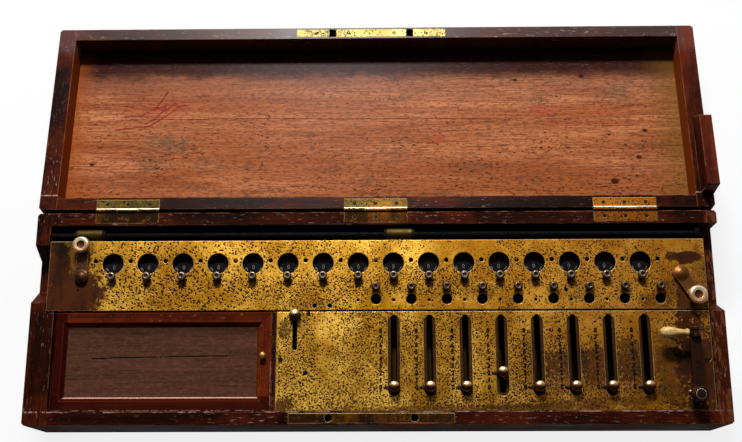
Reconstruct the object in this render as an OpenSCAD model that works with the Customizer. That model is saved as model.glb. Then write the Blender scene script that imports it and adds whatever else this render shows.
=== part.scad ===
// Office calculating machine in a wooden case: eight setting slides over stepped drums,
// a hinged and sliding carriage with result dials and counter dials, and a lid laid open.
// The origin is the centre of the underside of the case: X to the right, Y to the back, Z up.

/* [Case] */
// Length of the case, left to right
case_w = 580; // [580:1:620]
// Depth of the case, front to back
case_d = 180; // [180:1:200]
// Height of the case below its lid
case_h = 64; // [64:0.5:72]
// Thickness of the front and rear rails
rail_t = 11; // [9:0.5:11]
// Thickness of the side boards
side_t = 12; // [9:0.5:12]
// Thickness of the bottom board
floor_t = 8; // [5:0.5:8]
// Bevel on the outer upright corners
corner_cut = 2; // [0.5:0.25:3]
// Glue line left between neighbouring boards
glue = 0.1; // [0.05:0.05:0.2]

/* [Side notches] */
// Depth of the notches in the side boards
notch_depth = 20.6; // [20.6:0.2:23]
// Front end of the carriage's notch at the rim, from the rear face
pass_top = 87; // [86.5:0.5:90]
// Front end of the carriage's notch at its floor, from the rear face
pass_floor = 78; // [77:0.5:82]
// Rear end of the left finger notch at the rim, from the rear face
finger_rear = 28; // [22:0.5:30]
// Front end of the left finger notch at the rim, from the rear face
finger_front = 78; // [74:0.5:84]
// Run of the finger notch's slope at its rear end
finger_slope = 10; // [4:0.5:14]
// Run of the finger notch's slope at its front end
finger_ramp = 13; // [6:0.5:16]

/* [Lid] */
// Height of the lid's walls
lid_wall_h = 22; // [22:0.5:30]
// Thickness of the lid's top board
lid_board_t = 8; // [5:0.5:10]
// Thickness of the lid's side walls
lid_side_t = 15; // [12:0.5:15]
// Bevel round the lid's top board
lid_edge_cut = 3; // [3:0.25:4]
// Angle the lid is laid open by
lid_open = 186.7; // [180:0.1:186.7]
// Height of the tongue that fills the carriage's notch
tongue_h = 20.3; // [18:0.1:20.3]
// Thickness of that tongue
tongue_t = 10.5; // [7:0.5:11]

/* [Hinges and lock] */
// Distance of the lid hinge axis behind the rear face
hinge_off = 1.7; // [1.7:0.05:2.5]
// Length of each brass hinge
hinge_len = 54; // [40:1:60]
// Distance between neighbouring hinges
hinge_gap = 213; // [180:1:225]
// Thickness of the hinge leaves and lock plates
leaf_t = 1.2; // [0.8:0.1:1.6]
// Width of a hinge leaf on the rail
leaf_w = 9; // [7:0.5:9]
// Left end of the lock plate
lock_left = -72; // [-80:1:-60]
// Right end of the lock plate
lock_right = 64; // [50:1:80]
// Distance between the two lock hooks
hook_gap = 70.5; // [50:0.5:90]
// Width of the holes and slots that take the lock hooks
hook_w = 6.4; // [4:0.2:6.6]

/* [Compartment] */
// Width of the strip left of the compartment's cover
strip_w = 8; // [4:0.5:9]
// Thickness of the partition beside the mechanism
partition_t = 8; // [6:0.5:9]
// Thickness of the rib between the cover and the fixed plate
rib_t = 3.4; // [2:0.1:4]
// Thickness of the compartment's back board
back_t = 4; // [3:0.5:4]
// Thickness of the compartment's cover
cover_t = 10; // [8:0.5:10]
// Width of the cover's frame members
cover_frame = 12; // [9:0.5:16]
// Depth of the cover's sunk panel
cover_sink = 3.5; // [2:0.5:4.5]

/* [Figures] */
// Room left at the two ends of the row of result dials
row_ends = 80.8; // [76:0.2:82]
// Number of result dials
results = 16;
// Number of counter dials
counters = 9;
// Number of setting slides
slides = 8;
// Room before and behind a slide's travel
slide_ends = 29.45; // [29:0.05:30]
// Slide that is off zero
set_slide = 4; // [1:1:8]
// Figure that this slide stands at
set_figure = 2; // [0:1:9]

/* [Plates] */
// Thickness of the brass plates
plate_t = 2.5; // [2:0.1:2.7]
// Left edge of the fixed plate
plate_left = -82.7; // [-84:0.1:-80]
// Width of a setting slot's sunk channel
channel_w = 10; // [8:0.25:11]
// Depth of that channel
channel_d = 1; // [0.5:0.1:1.4]
// Width of the through slot
slot_w = 5; // [4.8:0.1:6]
// Gap between the fixed plate and the carriage
carriage_gap = 1.5; // [0.8:0.1:2]

/* [Carriage] */
// Depth of the carriage's plate, front to back
carriage_d = 60.1; // [60.1:0.1:62]
// Gap behind the carriage's plate
rear_gap = 14; // [14:0.5:16]
// Height of the whole carriage under its top face
carriage_h = 19.8; // [18.5:0.1:19.8]
// Radius of the result windows
window_r = 9; // [7:0.25:10]
// Radius of the counter windows
counter_window_r = 4.5; // [3.5:0.25:5]
// Radius of the holes for decimal markers
marker_r = 1.9; // [1.4:0.1:2.4]
// Radius of the counter's marker holes
small_hole_r = 1.4; // [0.8:0.1:1.8]
// Gap beside a result dial, up to half the distance between places
dial_gap = 1.35; // [0.9:0.05:2.5]
// Gap beside a counter dial, up to half the distance between places
counter_dial_gap = 0.65; // [0.6:0.05:1.6]
// Thickness of a dial
dial_t = 1.8; // [1.2:0.1:2]
// Radius of the dials' spindles
spindle_r = 2; // [1.6:0.1:2.2]
// Radius of the carriage's rod
rod_r = 3; // [2.5:0.1:3]

/* [Knobs and cranks] */
// Radius of the dials' finger knobs
finger_r = 3.75; // [3:0.05:3.9]
// Height of the dials' finger knobs
finger_h = 7; // [5:0.25:7]
// Radius of the slide knobs
knob_r = 4.5; // [4:0.1:5]
// Height of the slide knobs
knob_h = 9; // [7:0.25:9]
// Length of the crank's arm between its pivots
arm_len = 50; // [44:0.5:51]
// Width of the crank's arm
arm_w = 9; // [8:0.25:9.5]
// Thickness of the crank's arm
arm_t = 4; // [3:0.25:4]
// Length of the crank's handle
handle_len = 29; // [24:0.5:30]
// Greatest radius of the crank's handle
handle_r = 4.6; // [3.4:0.1:4.6]
// Radius of the crank's shaft
crank_r = 4; // [3:0.1:4]

/* [Gearing] */
// Height above and below the drums and their pinions
gear_room = 23; // [22.5:0.1:23]
// Teeth a full drum would have
drum_places = 20;
// Teeth of a sliding pinion
pinion_teeth = 10;
// Gap between a sliding pinion and the next step of its drum
pinion_gap = 1.85; // [1.8:0.05:2.8]
// Side of the square number axles
axle_side = 4; // [3.5:0.1:4]
// Radius of the drum axles and the drive shaft
axle_r = 2.5; // [2:0.1:2.5]
// Pitch radius of the bevel gears
bevel_r = 6; // [5.8:0.05:6]
// Teeth of a bevel gear
bevel_teeth = 12;
// Width of the bevel gears' faces
bevel_face = 3; // [2:0.1:3.2]

/* [Clearances] */
// Play of a shaft in its bearing, on the radius
play = 0.05; // [0.02:0.01:0.09]
// Gap at a seat
seat = 0.3; // [0.2:0.05:0.4]
// Gap between the closed lid and the case
lid_gap = 0.1; // [0.05:0.05:0.3]

/* [Hidden] */
$fn = 48;

// The case's inner faces and rim
in_x = case_w / 2 - side_t;
in_front = -case_d / 2 + rail_t;
in_back = case_d / 2 - rail_t;
rear_face = case_d / 2;
rim = case_h;

// The row of places and the gearing fit the case
pitch = (2 * in_x - row_ends) / results;
dial_r = pitch / 2 - dial_gap;
counter_dial_r = pitch / 2 - counter_dial_gap;
drum_pitch_r = (rim - floor_t - gear_room) / 3;

// The compartment
strip_right = -in_x + strip_w;
cover_left = strip_right + 0.5;
cover_right = plate_left - rib_t - 2 * seat;
cover_axis_x = cover_left + cover_t / 2;
cover_axis_z = rim - cover_t / 2;
cover_pin_r = 1.2;
cover_pin_len = 2.6;
cover_panel_t = 4;
partition_right = plate_left - seat;
ledge_z = rim - cover_t - seat;

// The carriage's and the fixed plate's edges
carriage_rear = in_back - rear_gap;
carriage_front = carriage_rear - carriage_d;
plate_rear = carriage_front - carriage_gap;
plate_front = in_front + seat;
plate_right = in_x - 1;
plate_low = rim - plate_t;
plate_d = plate_rear - plate_front;
cover_knob_y = plate_rear - 0.4495 * plate_d;
step = (plate_d - slide_ends) / 9;

// The places of dials and slides
function slide_x(i) = (i + 0.5) * pitch;
function result_x(i) = (i - (results - 1) / 2) * pitch;
function counter_x(i) = i * pitch;
result_y = carriage_front + 28.5;
window_y = carriage_front + 40.3;
marker_y = carriage_front + 42.7;
counter_y = carriage_front + 18.8;
counter_window_y = carriage_front + 9;

// The setting slots and figures
slot_rear = plate_rear - 3.8;
nine_y = slot_rear - 6.75;
zero_y = nine_y - 9 * step;
slot_front = zero_y - 7.2;
function figure_y(n) = zero_y + n * step;
function figure_of(i) = i == set_slide - 1 ? set_figure : 0;

// The gearing: number axle over drum axle, and the drive shaft in front
pinion_pitch_r = drum_pitch_r * pinion_teeth / drum_places;
pinion_w = step - pinion_gap;
tooth_k = drum_pitch_r / 11;
axle_z = rim - 26;
drum_z = axle_z - drum_pitch_r - pinion_pitch_r;
drum_tip = tooth_k;
drum_root = 1.4 * tooth_k;
tooth_half = 0.66 * tooth_k;
flank = 14.5;
drive_y = zero_y - 7.8;
bevel_cone = bevel_r * sqrt(2);
bevel_tip = 0.9;
bevel_root = 1.1;
bevel_half = 0.66;
bevel_flank = 20;
bevel_module = 2 * bevel_r / bevel_teeth;
bevel_back = bevel_r + 2.6;

// The cross bars that carry the gearing
front_bar_t = 3;
front_bar_y = in_front + 1.5;
drum_bar_t = 2;
drum_bar_y = drive_y + bevel_back + seat;
drum_bar_top = drum_z + axle_r + 3.5;
drum_start = drum_bar_y + drum_bar_t + seat;
rear_bar_t = 3;
rear_bar_y = plate_rear - 0.2 - rear_bar_t;
drum_end = nine_y + pinion_w / 2 + 1;
drum_rim = 0.5;
bar_left = plate_left + 24.7;
bar_over = 22;
bar_right = slide_x(slides - 1) + bar_over;

// The crank and its handle
crank_in = 17.5;
crank_x = in_x - crank_in;
crank_y = drive_y;
arm_low = rim + knob_h + 1;
fork_r = 5;
handle_z = arm_low + fork_r;
fork_gap = 3.2;
handle_start = 5.6;
fork_pin_r = 1.1;

// The carriage's levels below its plate
result_dial_z = rim - 6.8;
counter_dial_z = rim - 10.6;
bridge_z = rim - 14;
bridge_t = 2;
carriage_low = rim - carriage_h;
dial_gear_r = 5.5;
dial_gear_t = 2.8;
carriage_end = in_x - 1;
frame_cheek = 5;
rear_bar_depth = 7;
bridge_front = carriage_front + 7.4;

// The carriage's rod, sleeves and lugs
rod_y = in_back - 7.2;
rod_z = rim - 8;
sleeve_r = rod_r + 1.6;
sleeve_len = 26;
sleeve_left = -in_x + 20;
sleeve_right = 7;
collar_t = 2;
collar_r = sleeve_r + 1;
lug_r = sleeve_r + 1.75;
rod_end = in_x - 2;
bracket_t = 4;

// The lid's underside when closed, and its hinge axis
lid_base = rim + lid_gap;
axis_y = rear_face + hinge_off;
barrel_r = hinge_off - play;
hinge_pin_r = 0.8;

// The two zeroing cranks and the operation lever
zero_arm_left = 26;
zero_knob_h = 11.8;
zero_arm_right = 22.3;
zero_left = [-in_x + 29.5, carriage_front + 28.8];
zero_right = [in_x - 22.3, carriage_front + 29.3];
zero_right_turn = 151;
lever_x = plate_left + 15.1;
lever_y = plate_rear - 3.3;
lever_travel = 27;

// A box between two corners
module block(x0, x1, y0, y1, z0, z1)
    translate([x0, y0, z0])
        cube([x1 - x0, y1 - y0, z1 - z0]);

// A profile in Y and Z drawn out along X from x0 to x1
module along_x(x0, x1)
    translate([x0, 0, 0])
        rotate([90, 0, 90])
            linear_extrude(height = x1 - x0)
                children();

// A profile in X and Z drawn out along Y from y0 to y1
module along_y(y0, y1)
    translate([0, y1, 0])
        rotate([90, 0, 0])
            linear_extrude(height = y1 - y0)
                children();

// A round bar along X, and one along Y
module rod_x(x0, x1, y, z, r)
    translate([x0, y, z])
        rotate([0, 90, 0])
            cylinder(h = x1 - x0, r = r);

module rod_y_bar(y0, y1, x, z, r)
    translate([x, y0, z])
        rotate([-90, 0, 0])
            cylinder(h = y1 - y0, r = r);

// An upright round bar
module post(x, y, z0, z1, r)
    translate([x, y, z0])
        cylinder(h = z1 - z0, r = r);

// A slot outline with round ends
module slot_outline(x, y0, y1, w) {
    translate([x - w / 2, y0 + w / 2])
        square([w, y1 - y0 - w]);
    translate([x, y0 + w / 2])
        circle(d = w);
    translate([x, y1 - w / 2])
        circle(d = w);
}

// A rail's plan with its two outer corners bevelled; side is -1 in front and 1 behind
module rail_plan(side)
    scale([1, side])
        polygon([
            [-case_w / 2, case_d / 2 - rail_t],
            [case_w / 2, case_d / 2 - rail_t],
            [case_w / 2, case_d / 2 - corner_cut],
            [case_w / 2 - corner_cut, case_d / 2],
            [-case_w / 2 + corner_cut, case_d / 2],
            [-case_w / 2, case_d / 2 - corner_cut]
        ]);

module case_boards()
    color("#3b1d12") {
        front_rail();
        rear_rail();
        left_side();
        right_side();
        compartment_boards();
    }

module front_rail()
    difference() {
        linear_extrude(height = case_h)
            mirror([0, 1])
                rail_plan(1);
        lock_seat(rim);
        for (x = [hook_x(-1), hook_x(1)])
            post(x, lock_y, rim - 4 * hook_w, rim, hook_w / 2);
        rod_y_bar(in_front - cover_pin_len - seat, in_front + 1, cover_axis_x, cover_axis_z, cover_pin_r + play);
    }

module rear_rail()
    difference() {
        linear_extrude(height = case_h)
            rail_plan(1);
        hinge_seats(rim - leaf_t);
    }

// The seat of a lock plate, leaf_t deep under the height z
module lock_seat(z)
    block(lock_left, lock_right, -rear_face + 1.5, in_front - 1.5, z - leaf_t, z + 1);

// The seats of the three case leaves, from the height z up
module hinge_seats(z)
    for (k = [-1 : 1])
        block(k * hinge_gap - hinge_len / 2, k * hinge_gap + hinge_len / 2, rear_face - leaf_w, rear_face + 1, z, z + leaf_t + 1);

// Side boards, drawn as profiles in Y and Z
module left_side()
    difference() {
        along_x(-case_w / 2, -in_x)
            polygon([
                [in_front + glue, 0],
                [in_back - glue, 0],
                [in_back - glue, rim],
                [rear_face - finger_rear, rim],
                [rear_face - finger_rear - finger_slope, rim - notch_depth],
                [rear_face - finger_front + finger_ramp, rim - notch_depth],
                [rear_face - finger_front, rim],
                [in_front + glue, rim]
            ]);
        rod_x(-in_x - 6, -in_x + 1, rod_y, rod_z, rod_r + play);
    }

module right_side()
    along_x(in_x, case_w / 2)
        polygon([
            [in_front + glue, 0],
            [in_back - glue, 0],
            [in_back - glue, rim - notch_depth],
            [rear_face - pass_floor, rim - notch_depth],
            [rear_face - pass_top, rim],
            [in_front + glue, rim]
        ]);

// The compartment: a strip at its left, a partition at its right and a board behind
module compartment_boards() {
    block(-in_x + glue, strip_right, in_front + glue, plate_rear, floor_t + glue, rim);
    block(partition_right - partition_t, partition_right, in_front + glue, plate_rear, floor_t + glue, ledge_z);
    block(partition_right - rib_t, partition_right, in_front + glue, plate_rear, ledge_z - 1, rim);
    difference() {
        block(-in_x + glue, partition_right, plate_rear + glue, plate_rear + glue + back_t, floor_t + glue, plate_low - seat);
        rod_y_bar(plate_rear - 1, plate_rear + back_t + 1, cover_axis_x, cover_axis_z, cover_pin_r + play);
    }
}

module case_bottom()
    color("#4a2c1a")
        block(-in_x + glue, in_x - glue, in_front + glue, in_back - glue, 0, floor_t);

// Butt hinge leaves and their pins on the rear rail, and the lock plate on the front rail
module case_brass()
    color("#b98b36") {
        for (k = [-1 : 1])
            case_leaf(k * hinge_gap);
        lock_plate(rim - leaf_t, false);
    }

module case_leaf(x)
    difference() {
        union() {
            block(x - hinge_len / 2 + play, x + hinge_len / 2 - play, rear_face - leaf_w + play, rear_face, rim - leaf_t, rim);
            for (side = [0, 1])
                mirror_at(x, side)
                    knuckle(x + hinge_len / 6 + seat, x + hinge_len / 2 - play, rim - leaf_t, rim);
            rod_x(x - hinge_len / 2 + play, x + hinge_len / 2 - play, axis_y, rim, hinge_pin_r);
        }
        for (s = [-1 : 1])
            post(x + s * hinge_len / 3, rear_face - leaf_w / 2, rim - leaf_t - 1, rim + 1, 1.5);
    }

// Its children, mirrored about the plane at x when side is 1
module mirror_at(x, side)
    translate([side == 1 ? 2 * x : 0, 0, 0])
        mirror([side, 0, 0])
            children();

// One hinge knuckle between x0 and x1, tied to a leaf that lies between z0 and z1
module knuckle(x0, x1, z0, z1) {
    rod_x(x0, x1, axis_y, rim, barrel_r);
    block(x0, x1, rear_face - 1, axis_y, z0, z1);
}

// The lock plate has round holes for the hooks; in the strike plate slots part it in three
module lock_plate(z, slotted)
    difference() {
        block(lock_left + play, lock_right - play, -rear_face + 1.5 + play, in_front - 1.5 - play, z, z + leaf_t);
        for (x = [hook_x(-1), hook_x(1)])
            if (slotted)
                block(x - hook_w / 2, x + hook_w / 2, -rear_face, in_front, z - 1, z + leaf_t + 1);
            else
                post(x, lock_y, z - 1, z + leaf_t + 1, hook_w / 2);
    }

lock_y = (in_front - rear_face) / 2;
function hook_x(side) = (lock_left + lock_right) / 2 + side * hook_gap / 2;

// What belongs to the lid is drawn closed and then swung open about the hinge axis
module swung_open()
    translate([0, axis_y, rim])
        rotate([-lid_open, 0, 0])
            translate([0, -axis_y, -rim])
                children();

module lid_walls()
    color("#3b1d12")
        swung_open() {
            difference() {
                translate([0, 0, lid_base])
                    linear_extrude(height = lid_wall_h)
                        mirror([0, 1])
                            rail_plan(1);
                block(lock_left, lock_right, -rear_face + 1.5, in_front - 1.5, rim - 1, lid_base + leaf_t);
                for (x = [hook_x(-1), hook_x(1)])
                    block(x - hook_w / 2, x + hook_w / 2, -rear_face + 1.5, in_front - 1.5, rim - 1, lid_base + hook_w);
            }
            difference() {
                translate([0, 0, lid_base])
                    linear_extrude(height = lid_wall_h)
                        rail_plan(1);
                hinge_seats(lid_base - 1);
            }
            block(-case_w / 2, -case_w / 2 + lid_side_t, in_front + glue, in_back - glue, lid_base, lid_base + lid_wall_h);
            block(case_w / 2 - lid_side_t, case_w / 2, in_front + glue, in_back - glue, lid_base, lid_base + lid_wall_h);
            lid_tongue();
        }

// The tongue hangs from the lid's right wall and fills the carriage's notch
module lid_tongue()
    along_x(case_w / 2 - tongue_t, case_w / 2)
        polygon([
            [in_back - 2 * seat, rim - glue],
            [rear_face - pass_top + 3 * seat, rim - glue],
            [rear_face - pass_floor + 2 * seat, rim - tongue_h],
            [in_back - 4 * seat, rim - tongue_h]
        ]);

// The top board carries a bevel on all four edges
module lid_board()
    color("#8a4a22")
        swung_open()
            intersection() {
                along_y(-case_d, case_d)
                    bevelled_end(case_w);
                along_x(-case_w, case_w)
                    bevelled_end(case_d);
            }

module bevelled_end(w)
    translate([0, lid_base + lid_wall_h + glue])
        polygon([
            [-w / 2, 0],
            [w / 2, 0],
            [w / 2, lid_board_t - lid_edge_cut],
            [w / 2 - lid_edge_cut, lid_board_t],
            [-w / 2 + lid_edge_cut, lid_board_t],
            [-w / 2, lid_board_t - lid_edge_cut]
        ]);

module lid_brass()
    color("#b98b36")
        swung_open() {
            for (k = [-1 : 1])
                lid_leaf(k * hinge_gap);
            lock_plate(lid_base, true);
        }

module lid_leaf(x)
    difference() {
        union() {
            block(x - hinge_len / 2 + play, x + hinge_len / 2 - play, rear_face - leaf_w + play, rear_face, lid_base, lid_base + leaf_t);
            knuckle(x - hinge_len / 6, x + hinge_len / 6, lid_base, lid_base + leaf_t);
        }
        rod_x(x - hinge_len, x + hinge_len, axis_y, rim, hinge_pin_r + play);
        for (s = [-1 : 1])
            post(x + s * hinge_len / 3, rear_face - leaf_w / 2, rim - 1, lid_base + leaf_t + 1, 1.5);
    }

// The compartment's cover: a bevelled frame on two pins, a sunk panel and a turned knob
module compartment_cover() {
    color("#5a2415")
        difference() {
            union() {
                block(cover_axis_x, cover_right, in_front + seat, plate_rear - seat, rim - cover_t, rim);
                rod_y_bar(in_front + seat, plate_rear - seat, cover_axis_x, cover_axis_z, cover_t / 2);
                rod_y_bar(in_front - cover_pin_len, plate_rear + cover_pin_len, cover_axis_x, cover_axis_z, cover_pin_r);
            }
            sunk_field(cover_left + cover_frame, cover_right - cover_frame, in_front + cover_frame, plate_rear - cover_frame);
            post(cover_knob_x(), cover_knob_y, rim - cover_t - 1, rim + 1, 1 + play);
        }
    color("#6a5544")
        block(cover_left + cover_frame + glue, cover_right - cover_frame - glue,
            in_front + cover_frame + glue, plate_rear - cover_frame - glue,
            rim - cover_sink - cover_panel_t, rim - cover_sink);
    color("#b98b36")
        translate([cover_knob_x(), cover_knob_y, rim])
            rotate_extrude()
                polygon([[0, -6], [1, -6], [1, play], [2.6, play], [2.2, 1.2], [1.6, 2], [2.9, 3.6], [3, 4.6], [2, 5.8], [0, 6.2]]);
}

function cover_knob_x() = cover_right - cover_frame / 2 - 1;

// An opening with straight walls low down and a bevel above the panel
module sunk_field(x0, x1, y0, y1) {
    block(x0, x1, y0, y1, rim - cover_t - 1, rim + 1);
    intersection() {
        along_y(y0 - cover_sink, y1 + cover_sink)
            polygon([[x0, rim - cover_sink], [x1, rim - cover_sink], [x1 + cover_sink, rim], [x1 + cover_sink, rim + 1],
                [x0 - cover_sink, rim + 1], [x0 - cover_sink, rim]]);
        along_x(x0 - cover_sink, x1 + cover_sink)
            polygon([[y0, rim - cover_sink], [y1, rim - cover_sink], [y1 + cover_sink, rim], [y1 + cover_sink, rim + 1],
                [y0 - cover_sink, rim + 1], [y0 - cover_sink, rim]]);
    }
}

module front_plate()
    color("#b3852f")
        difference() {
            block(plate_left, plate_right, plate_front, plate_rear, plate_low, rim);
            for (i = [0 : slides - 1]) {
                translate([0, 0, plate_low - 1])
                    linear_extrude(height = plate_t + 2)
                        slot_outline(slide_x(i), slot_front + 2.5, slot_rear + 1, slot_w);
                translate([0, 0, rim - channel_d])
                    linear_extrude(height = channel_d + 1)
                        slot_outline(slide_x(i), slot_front, slot_rear, channel_w);
            }
            translate([0, 0, plate_low - 1])
                linear_extrude(height = plate_t + 2)
                    slot_outline(lever_x, lever_y - lever_travel - 2, lever_y + 2, 4);
            post(crank_x, crank_y, plate_low - 1, rim + 1, crank_r + play);
            for (p = screw_places)
                post(p[0], p[1], plate_low - 1, rim + 1, 1.3);
        }

// Screws that hold the fixed plate down on its posts
screw_places = [
    [plate_left + 3.8, plate_rear - 0.491 * plate_d],
    [bar_left + 1.5, plate_rear - rear_bar_t / 2 - 0.2],
    [plate_left + 24.1, plate_rear - 0.622 * plate_d],
    [plate_right - 3, plate_rear - 0.504 * plate_d]
];

// Cross bars, posts, shaft brackets and the square number axles
module mechanism_frame() {
    color("#8f7a45") {
        difference() {
            block(bar_left, plate_right, front_bar_y, front_bar_y + front_bar_t, floor_t, plate_low);
            for (i = [0 : slides - 1])
                rod_y_bar(front_bar_y - 1, front_bar_y + front_bar_t + 1, slide_x(i), axle_z, journal_r + play);
        }
        difference() {
            block(-8, bar_right, drum_bar_y, drum_bar_y + drum_bar_t, floor_t, drum_bar_top);
            for (i = [0 : slides - 1])
                rod_y_bar(drum_bar_y - 1, drum_bar_y + drum_bar_t + 1, slide_x(i), drum_z, axle_r + play);
        }
        difference() {
            block(bar_left, plate_right, rear_bar_y, rear_bar_y + rear_bar_t, floor_t, plate_low);
            for (i = [0 : slides - 1]) {
                rod_y_bar(rear_bar_y - 1, rear_bar_y + rear_bar_t + 1, slide_x(i), axle_z, journal_r + play);
                rod_y_bar(rear_bar_y - 1, rear_bar_y + rear_bar_t + 1, slide_x(i), drum_z, axle_r + play);
            }
        }
        difference() {
            block(-8, bar_right, tail_bar_y, tail_bar_y + rear_bar_t, floor_t, carriage_low - seat);
            for (i = [0 : slides - 1])
                rod_y_bar(tail_bar_y - 1, tail_bar_y + rear_bar_t + 1, slide_x(i), axle_z, journal_r + play);
        }
        for (x = [-4, crank_x + bevel_r + 1.5])
            shaft_bracket(x);
        for (p = [screw_places[0], screw_places[2]])
            post(p[0], p[1], floor_t, plate_low, 3.5);
    }
    color("#75706a")
        for (i = [0 : slides - 1])
            number_axle(slide_x(i));
}

journal_r = axle_side / 2 - 0.2;
tail_bar_y = carriage_rear - rear_bar_depth + 2;

module shaft_bracket(x)
    difference() {
        block(x, x + 3, front_bar_y + front_bar_t + glue, drive_y + axle_r + 3, floor_t, drum_z + axle_r + 3.5);
        rod_x(x - 1, x + 4, drive_y, drum_z, axle_r + play);
    }

// A square axle on round journals, with the two bevel wheels that drive a result dial
module number_axle(x) {
    rod_y_bar(front_bar_y + 0.5, front_bar_y + front_bar_t + 1.5, x, axle_z, journal_r);
    translate([x - axle_side / 2, front_bar_y + front_bar_t + 1, axle_z - axle_side / 2])
        cube([axle_side, rear_bar_y - front_bar_y - front_bar_t - 2, axle_side]);
    rod_y_bar(rear_bar_y - 1.5, tail_bar_y + rear_bar_t + 1, x, axle_z, journal_r);
    for (s = [-1, 1])
        translate([x, result_y + s * (dial_gear_r + 1.2), axle_z])
            rotate([90, 0, 0])
                notched_wheel(carriage_low - seat - axle_z, 2.4);
}

// A small wheel with ten notches in its rim, centred on the origin along Z
module notched_wheel(r, t)
    difference() {
        cylinder(h = t, r = r, center = true);
        for (k = [0 : pinion_teeth - 1])
            rotate([0, 0, (k + 0.5) * 360 / pinion_teeth])
                translate([r - 1.4, -r * 0.15, -t])
                    cube([2, r * 0.3, 2 * t]);
    }

// A mitre gear with its cone's tip at the origin, lying on the side of negative Z
module bevel_gear(turn) {
    small = (bevel_cone - bevel_face) / bevel_cone;
    foot = bevel_r - bevel_root / sqrt(2);
    foot_z = -bevel_r - bevel_root / sqrt(2);
    rotate_extrude()
        polygon([[0, foot_z * small], [foot * small, foot_z * small], [foot, foot_z], [foot, foot_z - 0.4],
            [axle_r + 1.2, foot_z - 0.4], [axle_r + 1.2, -bevel_back], [0, -bevel_back]]);
    for (k = [0 : bevel_teeth - 1])
        rotate([0, 0, turn + k * 360 / bevel_teeth])
            translate([bevel_r, 0, -bevel_r])
                rotate([0, -45, 0])
                    rotate([0, 0, -90])
                        linear_extrude(height = bevel_face, scale = small)
                            tooth_outline(bevel_half, bevel_flank, bevel_tip, bevel_root + 0.3);
}

// A straight-sided tooth standing on the pitch line
module tooth_outline(half, angle, tip, root)
    polygon([
        [-half - root * tan(angle), -root],
        [half + root * tan(angle), -root],
        [half - tip * tan(angle), tip],
        [-half + tip * tan(angle), tip]
    ]);

// The drive shaft under the plate's front edge, with a mitre gear for the crank and each drum
module drive_shaft()
    color("#75706a") {
        rod_x(-6, crank_x + bevel_r + 5.5, drive_y, drum_z, axle_r);
        for (x = concat([for (i = [0 : slides - 1]) slide_x(i)], [crank_x]))
            translate([x, drive_y, drum_z])
                rotate([0, 90, 0])
                    bevel_gear(0);
    }

// A drum whose nine teeth grow shorter one by one, on its axle with a mitre gear in front
module stepped_drum(i)
    color("#a9812f")
        translate([slide_x(i), 0, drum_z]) {
            translate([0, drive_y, 0])
                rotate([90, 0, 0])
                    bevel_gear(180 / bevel_teeth);
            rod_y_bar(drive_y + bevel_back - 0.5, rear_bar_y + rear_bar_t + 1.5, 0, 0, axle_r);
            rod_y_bar(drum_start, drum_end + drum_rim, 0, 0, drum_pitch_r - drum_root);
            for (k = [1 : 9])
                rotate([0, 126 + 18 * (k - 1), 0])
                    along_y(max(figure_y(k) - step / 2, drum_start + drum_rim), drum_end)
                        translate([0, drum_pitch_r])
                            tooth_outline(tooth_half, flank, drum_tip, drum_root + 0.6 * tooth_k);
        }

// A slide: knob and pointer above the plate, a fork below it and the pinion between its cheeks
module slide(i)
    translate([slide_x(i), figure_y(figure_of(i)), 0]) {
        color("#a9a08c")
            slide_knob();
        color("#75706a")
            slide_fork();
        color("#a9812f")
            pinion();
    }

module slide_knob() {
    translate([0, 0, rim])
        rotate_extrude()
            polygon(concat(
                [[0, -fork_drop], [1.9, -fork_drop], [1.9, seat], [knob_r, seat], [knob_r, knob_h - 2.4]],
                [for (a = [15 : 15 : 90]) [knob_r * cos(a), knob_h - 2.4 + 2.4 * sin(a)]]
            ));
    translate([0, 0, rim + seat])
        linear_extrude(height = 0.8)
            polygon([[0, -1.6], [-knob_r, -1.4], [-9, -0.35], [-9, 0.35], [-knob_r, 1.4], [0, 1.6]]);
}

fork_drop = rim - axle_z - pinion_pitch_r - 3.2;
cheek_t = 1.5;
cheek_y = pinion_w / 2 + 0.2;

// Two cheeks astride the square axle, joined by a bridge that the knob's stem enters
module slide_fork()
    difference() {
        block(-4.6, 4.6, -cheek_y - cheek_t, cheek_y + cheek_t, axle_z - 1, rim - fork_drop + 2.2);
        block(-10, 10, -cheek_y, cheek_y, axle_z - 5, rim - fork_drop);
        block(-axle_side * 0.78, axle_side * 0.78, -10, 10, axle_z - 5, axle_z + axle_side * 0.78);
        post(0, 0, axle_z, rim, 1.9 + play);
    }

// The ten-tooth pinion with its square bore; a gap between teeth faces the drum below
module pinion()
    translate([0, 0, axle_z])
        difference() {
            union() {
                rod_y_bar(-pinion_w / 2, pinion_w / 2, 0, 0, pinion_pitch_r - 1.2 * tooth_k);
                for (k = [0 : pinion_teeth - 1])
                    rotate([0, (k + 0.5) * 360 / pinion_teeth, 0])
                        along_y(-pinion_w / 2, pinion_w / 2)
                            translate([0, pinion_pitch_r])
                                tooth_outline(tooth_half, flank, tooth_k, 1.5 * tooth_k);
            }
            block(-axle_side / 2 - play, axle_side / 2 + play, -pinion_w, pinion_w, -axle_side / 2 - play, axle_side / 2 + play);
        }

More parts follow.
